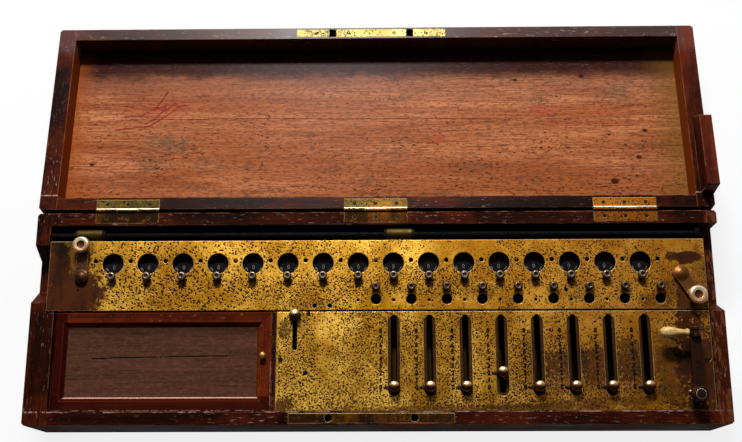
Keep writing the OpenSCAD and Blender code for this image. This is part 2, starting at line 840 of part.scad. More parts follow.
// The crank: upright shaft with its mitre gear, arm with a fork at its end, and a hexagon nut
module crank() {
    color("#75706a") {
        post(crank_x, crank_y, drum_z + bevel_back - 0.5, arm_low + arm_t + 3.2, crank_r);
        translate([crank_x, crank_y, drum_z])
            rotate([180, 0, 0])
                bevel_gear(180 / bevel_teeth);
    }
    color("#6b5730")
        difference() {
            union() {
                translate([0, 0, arm_low])
                    linear_extrude(height = arm_t)
                        arm_outline();
                post(crank_x, crank_y + arm_len, arm_low, handle_z, fork_r);
                rod_y_bar(crank_y + arm_len - 4, crank_y + arm_len + 4, crank_x, handle_z, fork_r - 1);
            }
            post(crank_x, crank_y, arm_low - 1, arm_low + arm_t + 1, crank_r + play);
            block(crank_x - 2 * fork_r, crank_x + 2 * fork_r, crank_y + arm_len - fork_gap / 2, crank_y + arm_len + fork_gap / 2,
                arm_low + 0.6, handle_z + 2 * fork_r);
        }
    color("#6b5730")
        rod_y_bar(crank_y + arm_len - fork_gap / 2 + 0.05, crank_y + arm_len + fork_gap / 2 - 0.05, crank_x, handle_z, fork_pin_r);
    color("#8d8675")
        translate([crank_x, crank_y, arm_low + arm_t + 0.1])
            difference() {
                cylinder(h = 3, r = 6.6, $fn = 6);
                translate([0, 0, -1])
                    cylinder(h = 6, r = crank_r + play);
            }
}

module arm_outline() {
    translate([crank_x - arm_w / 2, crank_y])
        square([arm_w, arm_len]);
    translate([crank_x, crank_y])
        circle(r = 6.8);
    translate([crank_x, crank_y + arm_len])
        circle(r = fork_r);
}

// The folding handle: a flat tang on the fork's pin, and a turned grip laid towards the left
module crank_handle() {
    hinge_at = [crank_x, crank_y + arm_len, handle_z];
    color("#6b5730")
        translate(hinge_at)
            difference() {
                union() {
                    rod_y_bar(-fork_gap / 2 + 0.2, fork_gap / 2 - 0.2, 0, 0, 3.4);
                    block(-handle_start - 0.5, 0, -fork_gap / 2 + 0.2, fork_gap / 2 - 0.2, -1.4, 1.4);
                }
                rod_y_bar(-5, 5, 0, 0, fork_pin_r + play);
            }
    color("#d9cba8")
        translate(hinge_at)
            rotate([0, -90, 0])
                rotate_extrude()
                    polygon([
                        [0, handle_start], [2.5, handle_start], [2.9, handle_start + 0.8], [2.9, handle_start + 2], [2.2, handle_start + 3],
                        [2.2, handle_start + 4.6], [handle_r * 0.6, handle_start + 7.4], [handle_r * 0.82, handle_len - 12],
                        [handle_r * 0.95, handle_len - 9], [handle_r, handle_len - 6.4], [handle_r * 0.93, handle_len - 3.6],
                        [handle_r * 0.74, handle_len - 1.6], [handle_r * 0.4, handle_len - 0.3], [0, handle_len]
                    ]);
}

// The lever that sets addition or subtraction: a knob on a stem with a collar under the plate
module operation_lever()
    color("#c9b58a")
        translate([lever_x, lever_y, rim])
            rotate_extrude()
                polygon([
                    [0, -plate_t - 5], [4, -plate_t - 5], [4, -plate_t - seat], [1.7, -plate_t - seat], [1.7, seat],
                    [5, seat], [5, 3], [4.4, 3.8], [4.4, 6], [3.6, 7.4], [2, 8.2], [0, 8.5]
                ]);

// The carriage's rod, its eye bracket on the rear rail at the right
module carriage_rod()
    color("#4d4740") {
        rod_x(-in_x - 5.5, rod_end, rod_y, rod_z, rod_r);
        difference() {
            union() {
                rod_x(rod_end - bracket_t - 0.5, rod_end - 0.5, rod_y, rod_z, rod_r + 2.6);
                block(rod_end - bracket_t - 0.5, rod_end - 0.5, rod_y, in_back, rod_z - 4, rod_z + 4);
                block(rod_end - bracket_t - 0.5, in_x - glue, in_back - 1.2, in_back, rod_z - 7, rod_z + 5);
            }
            rod_x(rod_end - bracket_t - 3, rod_end + 3, rod_y, rod_z, rod_r + play);
        }
    }

// Two sleeves slide along the rod; each turns in a lug of the carriage between two collars
module carriage_sleeves()
    color("#a9812f")
        for (x = [sleeve_left, sleeve_right])
            difference() {
                union() {
                    rod_x(x, x + sleeve_len, rod_y, rod_z, sleeve_r);
                    rod_x(x, x + collar_t, rod_y, rod_z, collar_r);
                    rod_x(x + sleeve_len - collar_t, x + sleeve_len, rod_y, rod_z, collar_r);
                }
                rod_x(x - 1, x + sleeve_len + 1, rod_y, rod_z, rod_r + play);
            }

module carriage_plate()
    color("#b3852f")
        difference() {
            block(-carriage_end, carriage_end, carriage_front, carriage_rear, plate_low, rim);
            for (i = [0 : results - 1]) {
                post(result_x(i), window_y, plate_low - 1, rim + 1, window_r);
                post(result_x(i), result_y, plate_low - 1, rim + 1, spindle_r + play);
            }
            for (i = [0 : results])
                post(result_x(i) - pitch / 2, marker_y, plate_low - 1, rim + 1, marker_r);
            for (i = [0 : counters - 1]) {
                post(counter_x(i), counter_window_y, plate_low - 1, rim + 1, counter_window_r);
                post(counter_x(i), counter_y, plate_low - 1, rim + 1, spindle_r + play);
            }
            for (i = [0 : counters - 1])
                post(counter_x(i) - pitch / 2, counter_window_y - 0.6, plate_low - 1, rim + 1, small_hole_r);
            for (x = [plate_left + 31.4, plate_left + 44.2])
                post(x, carriage_front + 3.6, plate_low - 1, rim + 1, marker_r);
            for (p = [zero_left, zero_right])
                post(p[0], p[1], plate_low - 1, rim + 1, spindle_r + play);
        }

// The frame under the plate: rear bar with its lugs, two cheeks and the bridge for the spindles
module carriage_frame()
    color("#8f7a45")
        difference() {
            union() {
                block(-carriage_end, carriage_end, carriage_rear - rear_bar_depth, carriage_rear, carriage_low, plate_low);
                block(-carriage_end, -carriage_end + frame_cheek, bridge_front, carriage_rear, carriage_low, plate_low);
                block(carriage_end - frame_cheek, carriage_end, bridge_front, carriage_rear, carriage_low, plate_low);
                block(-carriage_end, carriage_end, bridge_front, carriage_rear, bridge_z, bridge_z + bridge_t);
                for (x = [sleeve_left, sleeve_right])
                    carriage_lug(x + collar_t + seat, x + sleeve_len - collar_t - seat);
            }
            for (x = [sleeve_left, sleeve_right])
                rod_x(x - 5, x + sleeve_len + 5, rod_y, rod_z, sleeve_r + play);
            for (x = [sleeve_left - 1, sleeve_left + sleeve_len - collar_t - seat, sleeve_right - 1, sleeve_right + sleeve_len - collar_t - seat])
                rod_x(x, x + collar_t + seat + 1, rod_y, rod_z, collar_r + seat);
            for (i = [0 : results - 1])
                post(result_x(i), result_y, bridge_z - 1, bridge_z + bridge_t + 1, spindle_r + play);
            for (i = [0 : counters - 1])
                post(counter_x(i), counter_y, bridge_z - 1, bridge_z + bridge_t + 1, spindle_r + play);
        }

module carriage_lug(x0, x1) {
    rod_x(x0, x1, rod_y, rod_z, lug_r);
    block(x0, x1, carriage_rear - 1, rod_y, rod_z - 5, rod_z + 4);
}

// The finger knob that turns a dial, on its spindle down to the depth low
module finger_spindle(low)
    rotate_extrude()
        polygon([
            [0, low - rim], [spindle_r, low - rim], [spindle_r, seat], [finger_r - 0.8, seat], [finger_r - 1.2, 1.6],
            [finger_r - 0.6, 2.6], [finger_r, 3.4], [finger_r, finger_h - 1.6], [finger_r - 0.5, finger_h - 0.5],
            [finger_r - 1.2, finger_h], [finger_r - 2, finger_h], [finger_r - 2.5, finger_h - 0.7], [0, finger_h - 0.8]
        ]);

// A dial disc on a hub, bored for its spindle
module dial_disc(r, z)
    translate([0, 0, z])
        difference() {
            union() {
                cylinder(h = dial_t, r = r);
                translate([0, 0, -0.8])
                    cylinder(h = dial_t + 1.2, r = spindle_r + 1.6);
            }
            translate([0, 0, -3])
                cylinder(h = dial_t + 6, r = spindle_r + play);
        }

module result_dial(i)
    translate([result_x(i), result_y, 0]) {
        color("#b98b36")
            translate([0, 0, rim])
                finger_spindle(carriage_low);
        color("#1b1a18")
            dial_disc(dial_r, result_dial_z);
        color("#a9812f")
            translate([0, 0, carriage_low + dial_gear_t / 2])
                difference() {
                    notched_wheel(dial_gear_r, dial_gear_t);
                    cylinder(h = 10, r = spindle_r + play, center = true);
                }
    }

module counter_dial(i)
    translate([counter_x(i), counter_y, 0]) {
        color("#b98b36")
            translate([0, 0, rim])
                finger_spindle(bridge_z - 1);
        color("#1b1a18")
            dial_disc(counter_dial_r, counter_dial_z);
    }

// A zeroing crank: spindle with a collar under the plate, a tapered arm and its knob
module zero_crank(length, hub, end, knob)
    color("#8a7440") {
        rotate_extrude()
            polygon([[0, -plate_t - 3], [5, -plate_t - 3], [5, -plate_t - seat], [spindle_r, -plate_t - seat],
                [spindle_r, seat], [hub, seat], [hub, 3.6], [2.6, 5.4], [0, 5.8]]);
        translate([0, 0, 1.2])
            linear_extrude(height = 2.4)
                polygon([[-hub * 0.9, 0], [hub * 0.9, 0], [end, length], [-end, length]]);
        translate([0, length, 0])
            rotate_extrude()
                polygon(concat(
                    [[0, 1.2], [end, 1.2], [end, 3.6], [knob * 0.6, 4.2], [knob * 0.6, 5.6], [knob - 0.8, 7]],
                    [for (a = [-30 : 15 : 75]) [knob - 2.4 + 2.4 * cos(a), zero_knob_h - 2.4 + 2.4 * sin(a)]],
                    [[knob * 0.46, zero_knob_h - 0.3], [knob * 0.36, zero_knob_h - 1.6], [0, zero_knob_h - 1.9]]
                ));
    }

module zero_crank_left()
    translate([zero_left[0], zero_left[1], rim])
        zero_crank(zero_arm_left, 5.5, 4.9, 7.2);

module zero_crank_right()
    translate([zero_right[0], zero_right[1], rim])
        rotate([0, 0, -zero_right_turn])
            zero_crank(zero_arm_right, 6.7, 5, 7.9);

case_boards();
case_bottom();
case_brass();
lid_walls();
lid_board();
lid_brass();
compartment_cover();
front_plate();
mechanism_frame();
drive_shaft();
crank();
crank_handle();
operation_lever();
carriage_rod();
carriage_sleeves();
carriage_plate();
carriage_frame();
zero_crank_left();
zero_crank_right();
for (i = [1 : results])
    result_dial(i - 1);
for (i = [1 : counters])
    counter_dial(i - 1);
for (i = [1 : slides])
    slide(i - 1);
for (i = [1 : slides])
    stepped_drum(i - 1);
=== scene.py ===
"""Looks for a stepped-drum calculating machine that stands in its wooden case, lid laid open."""
import math

import bpy
from mathutils import Matrix, Vector


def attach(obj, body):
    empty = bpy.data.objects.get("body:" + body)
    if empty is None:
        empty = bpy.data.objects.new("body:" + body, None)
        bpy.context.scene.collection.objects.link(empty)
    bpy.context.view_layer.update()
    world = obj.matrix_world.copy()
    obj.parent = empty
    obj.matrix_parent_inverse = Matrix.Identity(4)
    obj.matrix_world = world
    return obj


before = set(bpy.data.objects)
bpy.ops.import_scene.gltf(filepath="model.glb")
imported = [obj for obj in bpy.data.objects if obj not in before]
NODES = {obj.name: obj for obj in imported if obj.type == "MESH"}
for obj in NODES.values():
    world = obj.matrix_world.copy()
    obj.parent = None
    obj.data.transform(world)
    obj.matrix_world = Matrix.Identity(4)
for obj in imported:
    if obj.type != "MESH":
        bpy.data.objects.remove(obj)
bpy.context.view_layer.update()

# Lengths are in millimetres, and MM makes them the scene's metres. Only the lamp and the camera
# are placed in metres, and the scales of noise and cells are to a metre.
MM = 0.001
PITCH = 29.7                 # from one place to the next, along x
STEP = 5.85                  # from one figure beside a slot to the next, along y
ZERO_Y = -59.8               # the slots' nought
RIM = 64.0                   # height of the case's rim, and of the tops of both plates
RESULT_Y = 33.4              # axes of the result dials
COUNTER_Y = 23.7             # axes of the counter dials
PEG_Y = 47.6                 # row of holes for the decimal pegs
HINGE_AXIS = (91.7, RIM)     # y and z of the lid's hinges
LID_OPEN = 186.7             # degrees that the lid has turned from shut
CRANK = (260.5, -67.6)       # x and y of the crank's axis
UP = (0, 0, 1)


def rgb(code):
    """A linear colour from a six-figure code."""
    out = []
    for k in (1, 3, 5):
        c = int(code[k:k + 2], 16) / 255
        out.append(c / 12.92 if c <= 0.04045 else ((c + 0.055) / 1.055) ** 2.4)
    return (*out, 1.0)


class Wire:
    """A node's output that adds nodes when it is used in a sum."""

    def __init__(self, sheet, out):
        self.sheet, self.out = sheet, out

    def _math(self, name, a, b):
        kind = "ShaderNodeVectorMath" if self.out.type == "VECTOR" else "ShaderNodeMath"
        return self.sheet.add(kind, {"operation": name}, {0: a, 1: b})

    def __add__(self, other): return self._math("ADD", self, other)
    def __radd__(self, other): return self._math("ADD", other, self)
    def __sub__(self, other): return self._math("SUBTRACT", self, other)
    def __rsub__(self, other): return self._math("SUBTRACT", other, self)
    def __mul__(self, other): return self._math("MULTIPLY", self, other)
    def __rmul__(self, other): return self._math("MULTIPLY", other, self)
    def __truediv__(self, other): return self._math("DIVIDE", self, other)
    def __gt__(self, other): return self._math("GREATER_THAN", self, other)
    def __lt__(self, other): return self._math("LESS_THAN", self, other)
    def __abs__(self): return self.sheet.calc("ABSOLUTE", self)


class Sheet:
    """A node tree, with short names for what the finishes share."""

    def __init__(self, tree):
        self.tree = tree
        tree.nodes.clear()

    def add(self, kind, sets=None, ins=None, out=0):
        """Adds a node: its settings, the values or wires of its inputs, and the output to use."""
        node = self.tree.nodes.new(kind)
        for key, value in (sets or {}).items():
            setattr(node, key, value)
        for key, value in (ins or {}).items():
            if isinstance(value, Wire):
                self.tree.links.new(value.out, node.inputs[key])
            else:
                node.inputs[key].default_value = value
        return Wire(self, node.outputs[out]) if len(node.outputs) else None

    def calc(self, name, *values):
        """A Math node, by the name of its operation."""
        return self.add("ShaderNodeMath", {"operation": name}, dict(enumerate(values)))

    def least(self, a, b):
        return self.calc("MINIMUM", a, b)

    def most(self, a, b):
        return self.calc("MAXIMUM", a, b)

    def mix(self, factor, a, b):
        """Colour a where factor is 0 and colour b where it is 1."""
        return self.add("ShaderNodeMix", {"data_type": "RGBA"}, {0: factor, 6: a, 7: b}, out=2)

    def two_tone(self, value, low, high, a, b):
        """The colour of code a where value is under low, and of code b where it is over high."""
        return self.mix(self.band(value, low, high), rgb(a), rgb(b))

    def coats(self, colour, *layers):
        """Tones laid over a colour: each layer is how much of it shows, 0 to 1, and its code."""
        for much, code in layers:
            colour = self.mix(much, colour, rgb(code))
        return colour

    def noise(self, where, scale, detail=3.0, rough=0.55, bend=0.0):
        return self.add("ShaderNodeTexNoise", {}, {
            "Vector": where, "Scale": scale, "Detail": detail, "Roughness": rough,
            "Distortion": bend})

    def drawn(self, where, along, across, detail=3.0, rough=0.55, bend=0.0):
        """Noise drawn out along the first axis, from its scales along and across that axis."""
        stretched = self.add("ShaderNodeVectorMath", {"operation": "MULTIPLY"},
                             {0: where, 1: (along, across, across)})
        return self.noise(stretched, 1.0, detail, rough, bend)

    def band(self, value, low, high):
        """0 before low, 1 past high, and a smooth change between; low may be the larger one."""
        return self.add("ShaderNodeMapRange", {"interpolation_type": "SMOOTHSTEP"},
                        {"Value": value, "From Min": low, "From Max": high})

    def span(self, value, low, high):
        """The same for a length, with low and high in millimetres."""
        return self.band(value, low * MM, high * MM)

    def uneven(self, cloud, low, spread):
        """A roughness that wanders from low to low + spread with a cloudy value."""
        return self.band(cloud, 0.2, 0.8) * spread + low


class Finish(Sheet):
    """A material, with the place on the part as metres in where, x, y and z."""

    def __init__(self, name):
        self.material = bpy.data.materials.new(name)
        self.material.use_nodes = True
        super().__init__(self.material.node_tree)
        self.where = self.add("ShaderNodeTexCoord", out="Object")
        split = self.add("ShaderNodeSeparateXYZ", ins={0: self.where}).out.node.outputs
        self.x, self.y, self.z = (Wire(self, s) for s in split)

    def facing(self, axis):
        """How far the surface faces along X, Y or Z, from -1 to 1."""
        normal = self.add("ShaderNodeTexCoord", out="Normal")
        return self.add("ShaderNodeSeparateXYZ", ins={0: normal}, out=axis)

    def in_row(self, first):
        """How far x lies from the nearest place of a row, -0.5 to 0.5; one place is at first."""
        return self.calc("FRACT", (self.x - first * PITCH * MM) / (PITCH * MM) + 100.5) - 0.5

    def oval(self, x, y, rx, ry):
        """The square of how far a point lies from an oval's middle: 1 on the oval."""
        dx, dy = (self.x - x * MM) / (rx * MM), (self.y - y * MM) / (ry * MM)
        return dx * dx + dy * dy

    def spot(self, x, y, rx, ry, soft=0.35):
        """A soft oval on the plan, 1 inside."""
        return self.band(self.oval(x, y, rx, ry), 1 + soft, 1 - soft)

    def stroke(self, points, width, shake=0.6):
        """A thin shaky line through points on the plan, 1 on the line."""
        wobble = (self.noise(self.where, 70.0, 2.0) - 0.5) * (2 * shake * MM)
        near = None
        for (x0, y0), (x1, y1) in zip(points, points[1:]):
            dx, dy = (x1 - x0) * MM, (y1 - y0) * MM
            px, py = self.x - x0 * MM + wobble, self.y - y0 * MM + wobble
            size = dx * dx + dy * dy
            along = self.add("ShaderNodeClamp", {}, {0: px * (dx / size) + py * (dy / size)})
            ax, ay = px - along * dx, py - along * dy
            away = ax * ax + ay * ay
            near = away if near is None else self.least(near, away)
        return self.band(near, (width * MM) ** 2, (width * MM * 0.4) ** 2)

    def edges(self, width):
        """How sharp the edge near a point is, from 0 on a flat to 1, and the eased normal."""
        eased = self.add("ShaderNodeBevel", {"samples": 4}, {"Radius": width * MM})
        flat = self.add("ShaderNodeNewGeometry", out="Normal")
        same = self.add("ShaderNodeVectorMath", {"operation": "DOT_PRODUCT"}, {0: eased, 1: flat},
                        out="Value")
        return self.band(same, 0.995, 0.80), eased

    def close(self, colour, rough, bump, depth, normal=None, **others):
        """Ends the material; bump is a height from 0 to 1 and depth what 1 stands for."""
        dent = {"Height": bump, "Distance": depth * MM, "Strength": 1.0}
        if normal is not None:
            dent["Normal"] = normal
        shader = self.add("ShaderNodeBsdfPrincipled", {}, {
            "Base Color": colour, "Roughness": rough,
            "Normal": self.add("ShaderNodeBump", {}, dent), **others})
        self.add("ShaderNodeOutputMaterial", {}, {0: shader})
        return self.material


# Wood

# Old shellac shines as a thin coat, and the wood under it not at all: with a gloss of its own the
# dark wood goes grey where it is seen at a slant
SHELLAC = {"Specular IOR Level": 0.0, "Coat Roughness": 0.28, "Coat IOR": 1.45}

# The crack in the lid's board and its red crayon strokes, as points on the plan
CRACK = ((-224, 188.2), (-120, 188.6), (-30, 187.8), (60, 187.2), (124, 186.8))
CRAYON = (
    ((-236, 178), (-221, 179.5), (-205, 182), (-190, 192.5), (-180, 201.5), (-172, 203)),
    ((-229, 191), (-214, 192), (-204, 198.5), (-190, 203), (-180, 202)),
    ((-204, 196), (-197, 206), (-190.5, 217), (-196, 208)),
    ((-210, 184), (-200, 190), (-192, 200)),
    ((-200, 200), (-192, 197), (-184, 205), (-178, 199)))
# Rubbed patches of the lid's board: x, y, half-widths, strength
RED_RUBS = ((-196, 199, 26, 9, 0.28), (51, 169, 11, 7, 0.5), (154, 196, 14, 5, 0.5),
            (205, 190, 12, 5, 0.4))
GREY_RUBS = ((-190, 165, 22, 9, 0.55), (221, 213, 12, 12, 0.5), (-203, 148, 14, 10, 0.35),
             (-150, 142, 16, 8, 0.35))
# Its worm holes: x, y, radius
WORM_HOLES = ((-254.5, 143.4, 1.8), (211.5, 124.8, 3.0), (242.5, 174.3, 2.0), (234.7, 148, 2.0),
              (209.9, 170.5, 1.2), (189, 230.4, 2.0), (128.2, 226.7, 1.6))
# The crack in the compartment cover's panel
COVER_SPLIT = ((-236, -34.8), (-205, -33.9), (-160, -33.2), (-124, -32.8))


def grain(f, where):
    """Figure, fibre and pore values of a board whose grain runs along the first axis."""
    figure = f.drawn(where, 4.0, 60.0, 4.0, 0.6, 0.6)
    fibre = f.drawn(where, 22.0, 900.0, 2.0, 0.6)
    pore = f.band(f.drawn(where, 28.0, 1120.0, 1.0, 0.5), 0.66, 0.72)
    return figure, fibre, pore


def turned(f, crosswise):
    """The place with x and y changed over where crosswise is 1."""
    x = f.x + (f.y - f.x) * crosswise
    y = f.y + (f.x - f.y) * crosswise
    return f.add("ShaderNodeCombineXYZ", {}, {0: x, 1: y, 2: f.z})


def dark_polish(name, left, right, lid_wall=0.0):
    """Old dark mahogany under worn shellac; past left and right the boards' grain runs along y.
    The lid's walls give the x of their inner faces as lid_wall, and wear in their own places."""
    f = Finish(name)
    where = turned(f, f.most(f.x > right * MM, f.x < left * MM))
    figure, fibre, pore = grain(f, where)
    cloud = f.noise(f.where, 14.0, 4.0, 0.65)
    scuff = f.band(f.drawn(where, 150.0, 700.0, 3.0, 0.65), 0.62, 0.69)
    scuffed = f.band(f.noise(f.where, 11.0, 3.0), 0.44, 0.62)
    chips = f.band(f.drawn(where, 90.0, 400.0, 3.0, 0.7), 0.50, 0.60)
    colour = f.coats(
        f.two_tone(figure, 0.35, 0.70, "#150502", "#360f05"),
        (f.band(cloud, 0.46, 0.66) * 0.7, "#541e0a"),
        (f.band(fibre, 0.42, 0.72) * 0.6, "#0b0302"),
        (pore * 0.7, "#060202"),
        (scuff * (scuffed * 0.6 + 0.15), "#957a6c"))
    if lid_wall:
        inner = f.span(abs(abs(f.x) - lid_wall * MM), 0.4, 0.2) * (f.z > 0.0)
        far_sheen_and_scuffs = f.span(f.y, 242, 256)
        hinge_edge = f.span(abs(f.y - 106.8 * MM), 0.9, 0.4)
        tongue, tongue_tip = f.x > 275.2 * MM, f.x > 290.5 * MM
        colour = f.coats(
            colour,
            (inner * 0.85, "#7a350c"),
            # grey on the far wall: real scuffs, and a painted sheen where that wall faces the
            # window lamp
            (far_sheen_and_scuffs * (scuff * 0.7 + fibre * 0.35), "#84706f"),
            (hinge_edge * (chips * 0.6 + 0.3), "#a87c6a"),
            (tongue * f.band(figure, 0.30, 0.62) * 0.7, "#6c2814"),
            (tongue_tip * f.band(cloud, 0.36, 0.60) * 0.7, "#8f3c18"))
    else:
        front_edge = f.span(abs(f.y + 79.2 * MM), 0.9, 0.4)
        right_board, rear_rail = f.x > 278.5 * MM, f.y > 77 * MM
        colour = f.coats(
            colour,
            (front_edge * chips * 0.8, "#a8867c"),
            (right_board * chips * 0.5, "#8c5c36"),
            (right_board * (cloud * 0.5 + chips * 0.35), "#50200c"),
            (rear_rail * scuff * 0.5, "#857068"))
    worn, eased = f.edges(1.4)
    rubbed = f.band(f.drawn(where, 60.0, 220.0, 3.0, 0.6), 0.42, 0.58)
    colour = f.coats(colour, (worn * rubbed * 0.85, "#94603f"))
    rough = f.uneven(cloud, 0.40, 0.20) + worn * 0.2
    dent = fibre * 0.35 - pore * 0.7 + f.noise(f.where, 45.0, 2.0) * 0.8 - scuff * 0.4
    front = f.band(f.facing("Y"), -0.5, -0.8)
    coat = 0.17 - f.band(cloud, 0.35, 0.65) * 0.05 - scuff * 0.06 - front * 0.09
    return f.close(colour, rough, dent, 0.14, eased, **{"Coat Weight": coat, **SHELLAC})


def bare_board(name):
    """The lid's board: bare and light inside, dark polish outside and on its edges."""
    f = Finish(name)
    figure, fibre, pore = grain(f, f.where)
    broad = f.drawn(f.where, 3.0, 9.0, 3.0, 0.6, 0.8)
    mottle = f.drawn(f.where, 200.0, 600.0, 3.0, 0.65)
    smudge = f.drawn(f.where, 30.0, 60.0, 4.0, 0.7)
    groups = f.band(f.drawn(f.where, 16.0, 30.0, 3.0, 0.6), 0.42, 0.62)
    by_hinge = f.span(f.y, 215, 150)
    fleck = f.band(f.drawn(f.where, 300.0, 820.0, 2.0, 0.6) + by_hinge * groups * 0.030
                   + groups * 0.032, 0.656, 0.690)
    painted_wall_shadow = f.span(f.y + (smudge - 0.5) * (16 * MM), 223, 238)
    scrape = f.band(f.drawn(f.where, 160.0, 1200.0, 2.0, 0.6), 0.58, 0.68)
    crack = f.stroke(CRACK, 0.5)
    broken = f.band(f.drawn(f.where, 60.0, 1.0), 0.40, 0.52)
    inside = f.coats(
        f.two_tone(figure, 0.32, 0.70, "#8e4e2e", "#c07c54"),
        (f.band(fibre, 0.38, 0.66) * 0.65, "#763a1b"),
        (f.band(broad, 0.35, 0.65) * 0.5, "#985325"),
        (f.band(mottle, 0.48, 0.60) * 0.55, "#58291a"),
        (pore * 0.55, "#3c1a0f"),
        (fleck * 0.95, "#220d08"),
        (f.band(smudge, 0.54, 0.72) * 0.45, "#54402f"),
        # greyer towards the far wall, then near black beside it as a painted shadow of that wall,
        # with grey scrapes in it
        (f.span(f.y, 195, 228) * 0.3, "#6c5044"),
        (painted_wall_shadow * 0.93, "#240c0d"),
        (painted_wall_shadow * scrape * 0.3, "#6e5866"),
        (f.span(f.x, -255, -278) * 0.6, "#8f4414"),
        (f.span(f.x, 235, 276) * 0.55, "#6a4a16"),
        (crack * (broken * 0.6 + 0.4), "#30140b"))
    waxy = f.band(f.noise(f.where, 700.0, 2.0), 0.32, 0.50)
    inside = f.coats(inside, *((f.stroke(path, 0.95, 1.8) * waxy * 0.95, "#6a1222")
                               for path in CRAYON))
    for rubs, patchy, code in ((RED_RUBS, f.band(smudge, 0.36, 0.58), "#a03c30"),
                               (GREY_RUBS, f.band(mottle, 0.36, 0.56), "#4e4436")):
        inside = f.coats(inside, *((f.spot(x, y, rx, ry, 0.9) * patchy * much, code)
                                   for x, y, rx, ry, much in rubs))
    inside = f.coats(inside, *((f.spot(x, y, r * 1.2, r * 0.9, 0.5) * 0.9, "#240c0a")
                               for x, y, r in WORM_HOLES))
    outside = f.coats(
        f.two_tone(figure, 0.35, 0.72, "#1f0b07", "#4a1c10"),
        (f.band(fibre, 0.42, 0.75) * 0.5, "#120504"),
        (pore * 0.6, "#0a0403"))
    shown = f.band(f.facing("Z"), 0.4, 0.6)
    worn, eased = f.edges(1.6)
    colour = f.coats(f.mix(shown, outside, inside), (worn * 0.4, "#8f5a3c"))
    dent = fibre * 0.4 - pore * 0.8 - fleck * 0.8 - crack * broken
    return f.close(colour, shown * 0.26 + 0.38, dent, 0.14, eased,
                   **{"Coat Weight": 0.16 - shown * 0.12, **SHELLAC})


def cover_wood(name, x_range, y_range, frame_w):
    """The compartment's cover: a mitred red frame, a dull panel and a small brass knob."""
    f = Finish(name)
    mid_x, mid_y = sum(x_range) / 2 * MM, sum(y_range) / 2 * MM
    to_side = (x_range[1] - x_range[0]) / 2 * MM - abs(f.x - mid_x)
    to_end = (y_range[1] - y_range[0]) / 2 * MM - abs(f.y - mid_y)
    to_edge = f.least(to_side, to_end)
    inset = to_edge - frame_w * MM
    panel = (inset > 0.0) * (f.z < 61.2 * MM)
    rail = 1 - panel
    near_half = f.y < mid_y
    figure, fibre, pore = grain(f, turned(f, (to_side < to_end) * rail))
    grime = f.band(f.noise(f.where, 55.0, 4.0, 0.7), 0.46, 0.68)
    fleck = f.band(f.drawn(f.where, 200.0, 420.0, 3.0, 0.7), 0.62, 0.69)
    mitre = f.span(abs(to_side - to_end), 0.5, 0.2)
    # painted highlight: a pale pink line along the near rail's lip, beside the panel
    lip_highlight = f.span(abs(inset + 0.7 * MM), 0.7, 0.3) * near_half * (to_end < to_side)
    outer = f.span(to_edge, 1.2, 0.4) * near_half
    chips = f.band(f.noise(f.where, 260.0, 3.0, 0.7), 0.42, 0.56)
    red = f.coats(
        f.two_tone(figure, 0.35, 0.70, "#471204", "#86370b"),
        (f.band(fibre, 0.42, 0.75) * 0.5, "#2c0a04"),
        (pore * 0.5, "#1c0603"),
        (grime * 0.5, "#240703"),
        (fleck * 0.4, "#a4684a"),
        (f.span(f.x, -256.5, -259.0) * 0.9, "#270202"),
        (f.span(f.y, -65.5, -68.0) * 0.9, "#2a0502"),
        (mitre * 0.7, "#140403"),
        (f.span(abs(inset), 1.6, 0.3) * 0.6, "#1c0704"),
        (lip_highlight * 0.9, "#d9a596"),
        (outer * chips * 0.6, "#a08070"))
    streaks = f.band(f.drawn(f.where, 260.0, 520.0, 3.0, 0.7), 0.46, 0.64)
    broken = f.band(f.drawn(f.where, 70.0, 1.0), 0.30, 0.40)
    dull = f.coats(
        f.two_tone(figure, 0.3, 0.7, "#452a1d", "#523426"),
        (f.band(fibre, 0.40, 0.75) * 0.6, "#2c1a12"),
        (streaks * 0.4, "#6a4534"),
        (pore * 0.6, "#1c110c"),
        # painted shade: the panel darker towards the rear rail
        (f.span(f.y, -22, -8) * 0.5, "#1a0d09"),
        (f.stroke(COVER_SPLIT, 0.6) * broken, "#0c0504"))
    worn, eased = f.edges(1.2)
    brass = f.z > 64.03 * MM
    colour = f.coats(f.mix(panel, red, dull), (worn * rail * 0.5, "#8a4424"), (brass, "#b08a4c"))
    rough = f.uneven(figure, 0.34, 0.15) + panel * 0.24
    dent = (fibre * 0.3 - pore * 0.6 - fleck * 0.4 - mitre * rail) * (1 - brass)
    return f.close(colour, rough, dent, 0.12, eased,
                   **{"Metallic": brass, "Coat Weight": 0.17 - panel * 0.12, **SHELLAC})


# Metal

# Layers of pits: scale of the cells, a pit's size in its cell, what that gains at the left, and
# the share of cells that have one where the pits are densest
PIT_LAYERS = ((410.0, 0.37, 0.06, 0.62), (360.0, 0.31, 0.05, 0.62), (740.0, 0.44, -0.06, 0.90))


def corroded(f, dense):
    """Where the pits are and where the fine specks are, from how dense they stand."""
    left = f.span(f.x, -60, -130)
    uneven = (f.noise(f.where, 900.0, 1.0) - 0.5) * 0.16
    dots = []
    for scale, size, gain, share in PIT_LAYERS:
        cell = f.add("ShaderNodeTexVoronoi", {}, {"Vector": f.where, "Scale": scale})
        colour = Wire(f, cell.out.node.outputs["Color"])
        chosen = f.add("ShaderNodeSeparateColor", ins={0: colour}) < dense * share
        dots.append(f.band(cell + uneven - left * gain, size, size - 0.08) * chosen)
    fine = f.band(f.noise(f.where, 1100.0, 1.0, 0.5) + dense * 0.05, 0.60, 0.66)
    pit = f.most(f.most(dots[0], dots[1]), dots[2])
    return pit, f.most(dots[2], fine * (1 - left * 0.6))


def stained(f, marks, frayed):
    """Where the ragged brown stains are, from their ovals."""
    ragged = (f.noise(f.where, 90.0, 6.0, 0.75, 0.4) - 0.5) * 4.2
    if frayed:
        ragged = ragged + (f.noise(f.where, 380.0, 2.0, 0.6) - 0.5) * frayed
    stain = None
    for x, y, rx, ry, strength in marks:
        one = f.band(f.oval(x, y, rx, ry) + ragged, 1.35, 0.75) * strength
        stain = one if stain is None else f.most(stain, one)
    return stain


